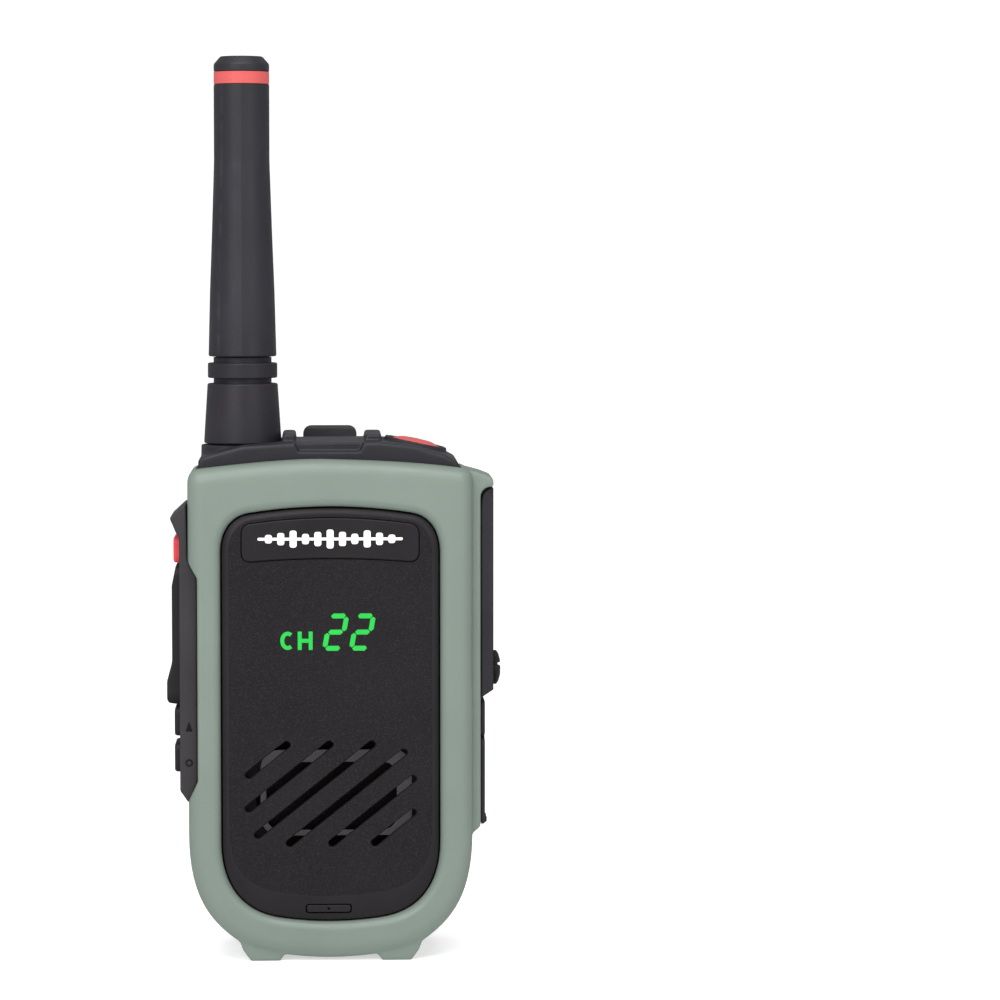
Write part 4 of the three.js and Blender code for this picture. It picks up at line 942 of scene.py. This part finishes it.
def build_thumbscrew():
    y, z, r = THUMB_Y, THUMB_Z, THUMB_R
    top = span("thumbscrew")[1]
    under = EAR + 0.2

    def knurl(radius, h, angle):
        """Fine teeth round the screw's rim."""
        if radius < r - 0.35 or h > top - 0.7:
            return radius
        return radius - 0.16 * (0.5 + 0.5 * math.cos(angle * 36))

    head = rounded([
        (0, 28.2, 0), (1.5, 28.2, 0), (1.5, under, 0), (r, under, 0.15), (r, under + 0.6, 0.3),
        (r * 0.82, top - 0.45, 1.5), (r * 0.45, top - 0.06, 1.5), (0, top, 0),
    ], closed=False)
    screw = turned_along("x", head, y, z, 216, knurl)
    slot = prism("x", rect(y - 5, y + 5, z + 0.25, z + 1.25, 0.1), under + 0.8, top + 1, 0)
    place(carve(screw, slot), "thumb_screw", "thumbscrew", PADDLE, "thumbscrew")


def flap_faces():
    """Inner and outer face of the flap's plate and of its anchor."""
    inner = span("charge_flap")[0] + PLUG
    return inner, inner + 0.8


def build_charge_flap():
    _, _, y0, y1, low, high = span("charge_flap")
    x0, x1 = flap_faces()
    flap = prism("x", rect(y0, y1, low, high, 2), x0, x1, 0.05, 0.35)
    lip = prism("y", rounded([
        (x0 + 0.5, low + 0.05, 0.2), (x1 + 0.45, low + 0.5, 0.35), (x1 + 0.45, low + 1.5, 0.35),
        (x0 + 0.5, low + 2.1, 0.2),
    ]), y0 + 2, y1 - 2, 0.15)
    plug = prism("x", rect(-7.9, -5.1, 33.2, 41.7, 1.2), x0 - PLUG, x0 + 0.4, 0.15, 0)
    merge(flap, lip, plug)
    place(flap, "charge_cover", "charge_flap", FLAP, "charge_flap")


def build_flap_anchor():
    _, _, y0, y1, _, _ = span("charge_flap")
    _, _, _, _, z0, z1 = span("charge_flap_anchor")
    x0, x1 = flap_faces()
    anchor = prism("x", rect(y0, y1, z0, z1, 1), x0, x1, 0.05, 0.35)
    stem = rod("x", 1.4, 29.3, x0 + 0.4, STEM_Y, STEM_Z)
    place(merge(anchor, stem), "charge_cover_anchor", "radio_body", FLAP, "charge_flap_anchor")


def build_flap_strap():
    """The soft strap between anchor and flap."""
    z0 = span("charge_flap_anchor")[4]
    x0, x1 = flap_faces()
    near, far = STRAP_Y
    strap = loft([
        [(x0 + 0.28 + u * 0.5, y, z) for u, y in ((0, near), (1, near), (1, far), (0, far))]
        for z in [z0 + 0.5 - 0.15 * k for k in range(11)]
    ])
    strap.data.transform(Matrix.Translation(ORIGIN) @ Matrix.Scale(MM, 4))
    strap.name = "charge_cover_strap"
    strap.data.materials.append(FLAP)
    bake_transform(strap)


# ---------------------------------------------------------------------------
# Battery, clip and screws
# ---------------------------------------------------------------------------
WALL = 1.6  # battery case
BATTERY_FOOT_Y = (10, 15)
PIN_Y, PIN_Z = 20.6, 75.5  # clip pin
TAB_HALF = 5.9  # half the width of the clip's upper end


def build_battery():
    x0, x1, y0, y1, ground, _ = span("battery_case")
    _, _, b0, b1, z0, z1 = span("battery_cover")
    tub = prism("y", rect(x0, x1, z0, z1, 4), y0, y1, 0.0, 1.6)
    hollow = prism("y", rect(x0 + WALL, x1 - WALL, z0 + WALL, z1 - WALL, 3), y0 - 1, y1 - WALL, 0)
    feet = [
        prism("z", rect(*sorted((side * FOOT_INNER, side * FOOT_OUTER)), *BATTERY_FOOT_Y, 0.6),
              ground, z0 + 0.8, 0.4, 0)
        for side in (-1, 1)
    ]
    carve(merge(tub, *feet), hollow)
    place(tub, "battery_shell", "battery", BATTERY, "battery_case")
    cover = prism("y", rect(x0, x1, z0, z1, 4), b0, b1, 0.2)
    pads = [prism("y", rect(x - 2, x + 2, 18, 22, 0.6), b0 - 1, b1 + 1, 0) for x in (-5, 5)]
    place(carve(cover, *pads), "battery_face", "battery", BATTERY, "battery_cover")


def build_latch():
    _, _, y0, y1, _, z1 = span("battery_latch")
    latch = prism("y", rect(-8, 8, 89.5, 97, 1), y0, y0 + 1.2, 0.3)
    tongue = prism("y", rect(-4, 4, 96, z1, 0.3), y0, y0 + 1.0, 0.2)
    ribs = [prism("y", rect(-6, 6, z, z + 0.6, 0.25), y0 + 0.8, y1, 0.02, 0.25) for z in (91, 92.6, 94.2)]
    place(merge(latch, tongue, *ribs), "latch_slide", "battery_latch", HOUSING, "battery_latch")


def build_clip_bracket():
    back = span("battery_case")[3]
    plate = prism("y", rect(-10, 10, 64, 86, 2), back + 0.3, back + 1.5, 0.05, 0.4)
    ears = [
        prism("x", rect(back + 0.4, PIN_Y + 2, PIN_Z - 4, PIN_Z + 4, 1.6), x, x + 1.8, 0.3)
        for x in (-9, 7.2)
    ]
    merge(plate, *ears)
    bore = rod("x", 1.05, -12, 12, PIN_Y, PIN_Z)
    place(carve(plate, bore), "clip_bracket", "battery", HOUSING, "belt_clip_bracket")


def build_clip_lever():
    """A wide plate below the pin, joined to a narrow tab that runs up over the top cover."""
    top = span("belt_clip_lever")[5]
    profile = rounded([
        (24.2, top, 0.9), (26, top, 0.9), (25.4, 98, 8), (24, 86, 12), (23.4, 78, 8),
        (23.2, 50, 8), (21.8, 40, 4), (18.4, 38, 1), (17.6, 40.4, 1), (20.6, 43, 2.5),
        (21.5, 52, 5), (21.5, 70, 1), (18.6, 73, 1.5), (18.6, 78, 1.5), (21.8, 80.5, 1),
        (22.2, 86, 5), (23.6, 98, 8),
    ], 6)
    lever = prism("x", profile, -9, 9, 0.55)
    carve(lever, prism("x", rect(10, 30, PIN_Z - 6.5, top + 2, 0), -12, 12, 0))
    tab = prism("x", profile, -TAB_HALF, TAB_HALF, 0.55)
    combine("INTERSECT", tab, [prism("y", rect(-TAB_HALF, TAB_HALF, 30, top, 1.8), 10, 30, 0)])
    merge(lever, tab)
    bore = rod("x", 1.1, -12, 12, PIN_Y, PIN_Z)
    pocket = prism("x", rect(17, PIN_Y + 2, PIN_Z - 3, PIN_Z + 3, 0), -3.3, 3.3, 0)
    carve(lever, bore, pocket)
    melt(lever, 0.22, 4)
    place(lever, "clip_lever", "belt_clip_lever", HOUSING, "belt_clip_lever")


def build_clip_pin():
    half = 9.4
    profile = rounded([(0, -half, 0), (1, -half, 0.3), (1, half, 0.3), (0, half, 0)], closed=False)
    pin = turned_along("x", profile, PIN_Y, PIN_Z, 48)
    place(pin, "clip_hinge_pin", "battery", STEEL, "clip_pin")


def build_case_screws():
    long, short = 1.1, 0.2
    for i in range(1, 5):
        node = "case_screw_%d" % i
        x0, x1, y0, y1, z0, z1 = span(node)
        x, z = (x0 + x1) / 2, (z0 + z1) / 2
        profile = rounded([
            (0, y0, 0), (1.15, y0 + 0.2, 0), (1.15, 5.5, 0), (2, 5.5, 0), (2, y1, 0.3), (0, y1, 0),
        ], closed=False)
        screw = turned_along("y", profile, x, z, 48)
        cross = [
            prism("y", rect(x - a, x + a, z - b, z + b, 0.1), y1 - 0.35, y1 + 1, 0)
            for a, b in ((long, short), (short, long))
        ]
        place(carve(screw, *cross), node + "_head", "radio_body", STEEL, node)


# ---------------------------------------------------------------------------
# Studio
# ---------------------------------------------------------------------------
CAMERA_DISTANCE = 850.0  # from the frame's front plane
CAMERA_HEIGHT = 153.0
SENSOR = 36.0
FOCAL = 4.042  # focal length over picture width
AIM = (0.1703, -0.2612)  # where the picture's middle lies from the eye line, in picture widths
LIGHT_TARGET = Vector((0, 0, 0.09))


def studio_white():
    mat = bpy.data.materials.new("studio_white")
    mat.use_nodes = True
    shader = mat.node_tree.nodes["Principled BSDF"]
    shader.inputs["Base Color"].default_value = (0.8, 0.8, 0.8, 1)
    shader.inputs["Roughness"].default_value = 0.9
    shader.inputs["Specular IOR Level"].default_value = 0.1
    shader.inputs["Emission Color"].default_value = (1, 1, 1, 1)
    shader.inputs["Emission Strength"].default_value = 0.5
    return mat


def build_sweep():
    """A pale floor that curves up into a back wall."""
    reach, sweep, depth = 6.0, 0.6, 1.2
    section = [(-6.0, 0.0), (depth, 0.0)]
    for k in range(1, 17):
        angle = math.pi / 2 * k / 16
        section.append((depth + sweep * math.sin(angle), sweep * (1 - math.cos(angle))))
    section.append((depth + sweep, 4.0))
    verts = [(x, y, z) for y, z in section for x in (-reach, reach)]
    faces = [(2 * k, 2 * k + 1, 2 * k + 3, 2 * k + 2) for k in range(len(section) - 1)]
    mesh = bpy.data.meshes.new("studio_sweep")
    mesh.from_pydata(verts, [], faces)
    floor = bpy.data.objects.new("studio_sweep", mesh)
    bpy.context.scene.collection.objects.link(floor)
    mesh.materials.append(studio_white())
    for polygon in mesh.polygons:
        polygon.use_smooth = True
    floor.visible_glossy = False


def build_world():
    """White all round, brighter to the camera than to the radio."""
    world = bpy.data.worlds.new("studio")
    world.use_nodes = True
    nodes, links = world.node_tree.nodes, world.node_tree.links
    seen = nodes.new("ShaderNodeMapRange")
    seen.inputs["To Min"].default_value = 0.35
    seen.inputs["To Max"].default_value = 1.1
    path = nodes.new("ShaderNodeLightPath")
    links.new(path.outputs["Is Camera Ray"], seen.inputs["Value"])
    nodes["Background"].inputs["Color"].default_value = (1, 1, 1, 1)
    links.new(seen.outputs["Result"], nodes["Background"].inputs["Strength"])
    bpy.context.scene.world = world


def softbox(name, at, size, power):
    light = bpy.data.lights.new(name, "AREA")
    light.shape = "RECTANGLE"
    light.size, light.size_y = size
    light.energy = power
    obj = bpy.data.objects.new(name, light)
    obj.location = at
    obj.rotation_euler = (LIGHT_TARGET - Vector(at)).to_track_quat("-Z", "Y").to_euler()
    bpy.context.scene.collection.objects.link(obj)


def build_lights():
    softbox("key", (-0.5, -1.0, 0.6), (0.6, 0.7), 7)
    softbox("fill", (0.7, -0.9, 0.35), (0.5, 0.7), 2.1)
    softbox("top", (0.0, -0.35, 0.72), (0.7, 0.5), 4.6)


def build_camera():
    camera = bpy.data.cameras.new("camera")
    camera.sensor_width = SENSOR
    camera.lens = FOCAL * SENSOR
    obj = bpy.data.objects.new("camera", camera)
    obj.location = ORIGIN + Vector((0, FRONT - CAMERA_DISTANCE, CAMERA_HEIGHT)) * MM
    aim = Vector((AIM[0] / FOCAL, 1, AIM[1] / FOCAL))
    obj.rotation_euler = aim.to_track_quat("-Z", "Y").to_euler()
    bpy.context.scene.collection.objects.link(obj)
    bpy.context.scene.camera = obj
    bpy.context.scene.view_settings.view_transform = "Standard"


build_frame()
build_panel()
build_panel_inserts()
build_speaker_rim()
build_emblem()
build_display()
build_top()
build_top_button()
build_antenna()
build_side_module()
build_side_buttons()
build_talk_paddle()
build_signs()
build_side_cover()
build_thumbscrew()
build_charge_flap()
build_flap_anchor()
build_flap_strap()
build_battery()
build_latch()
build_clip_bracket()
build_clip_lever()
build_clip_pin()
build_case_screws()
finish_inner_nodes()
build_sweep()
build_world()
build_lights()
build_camera()
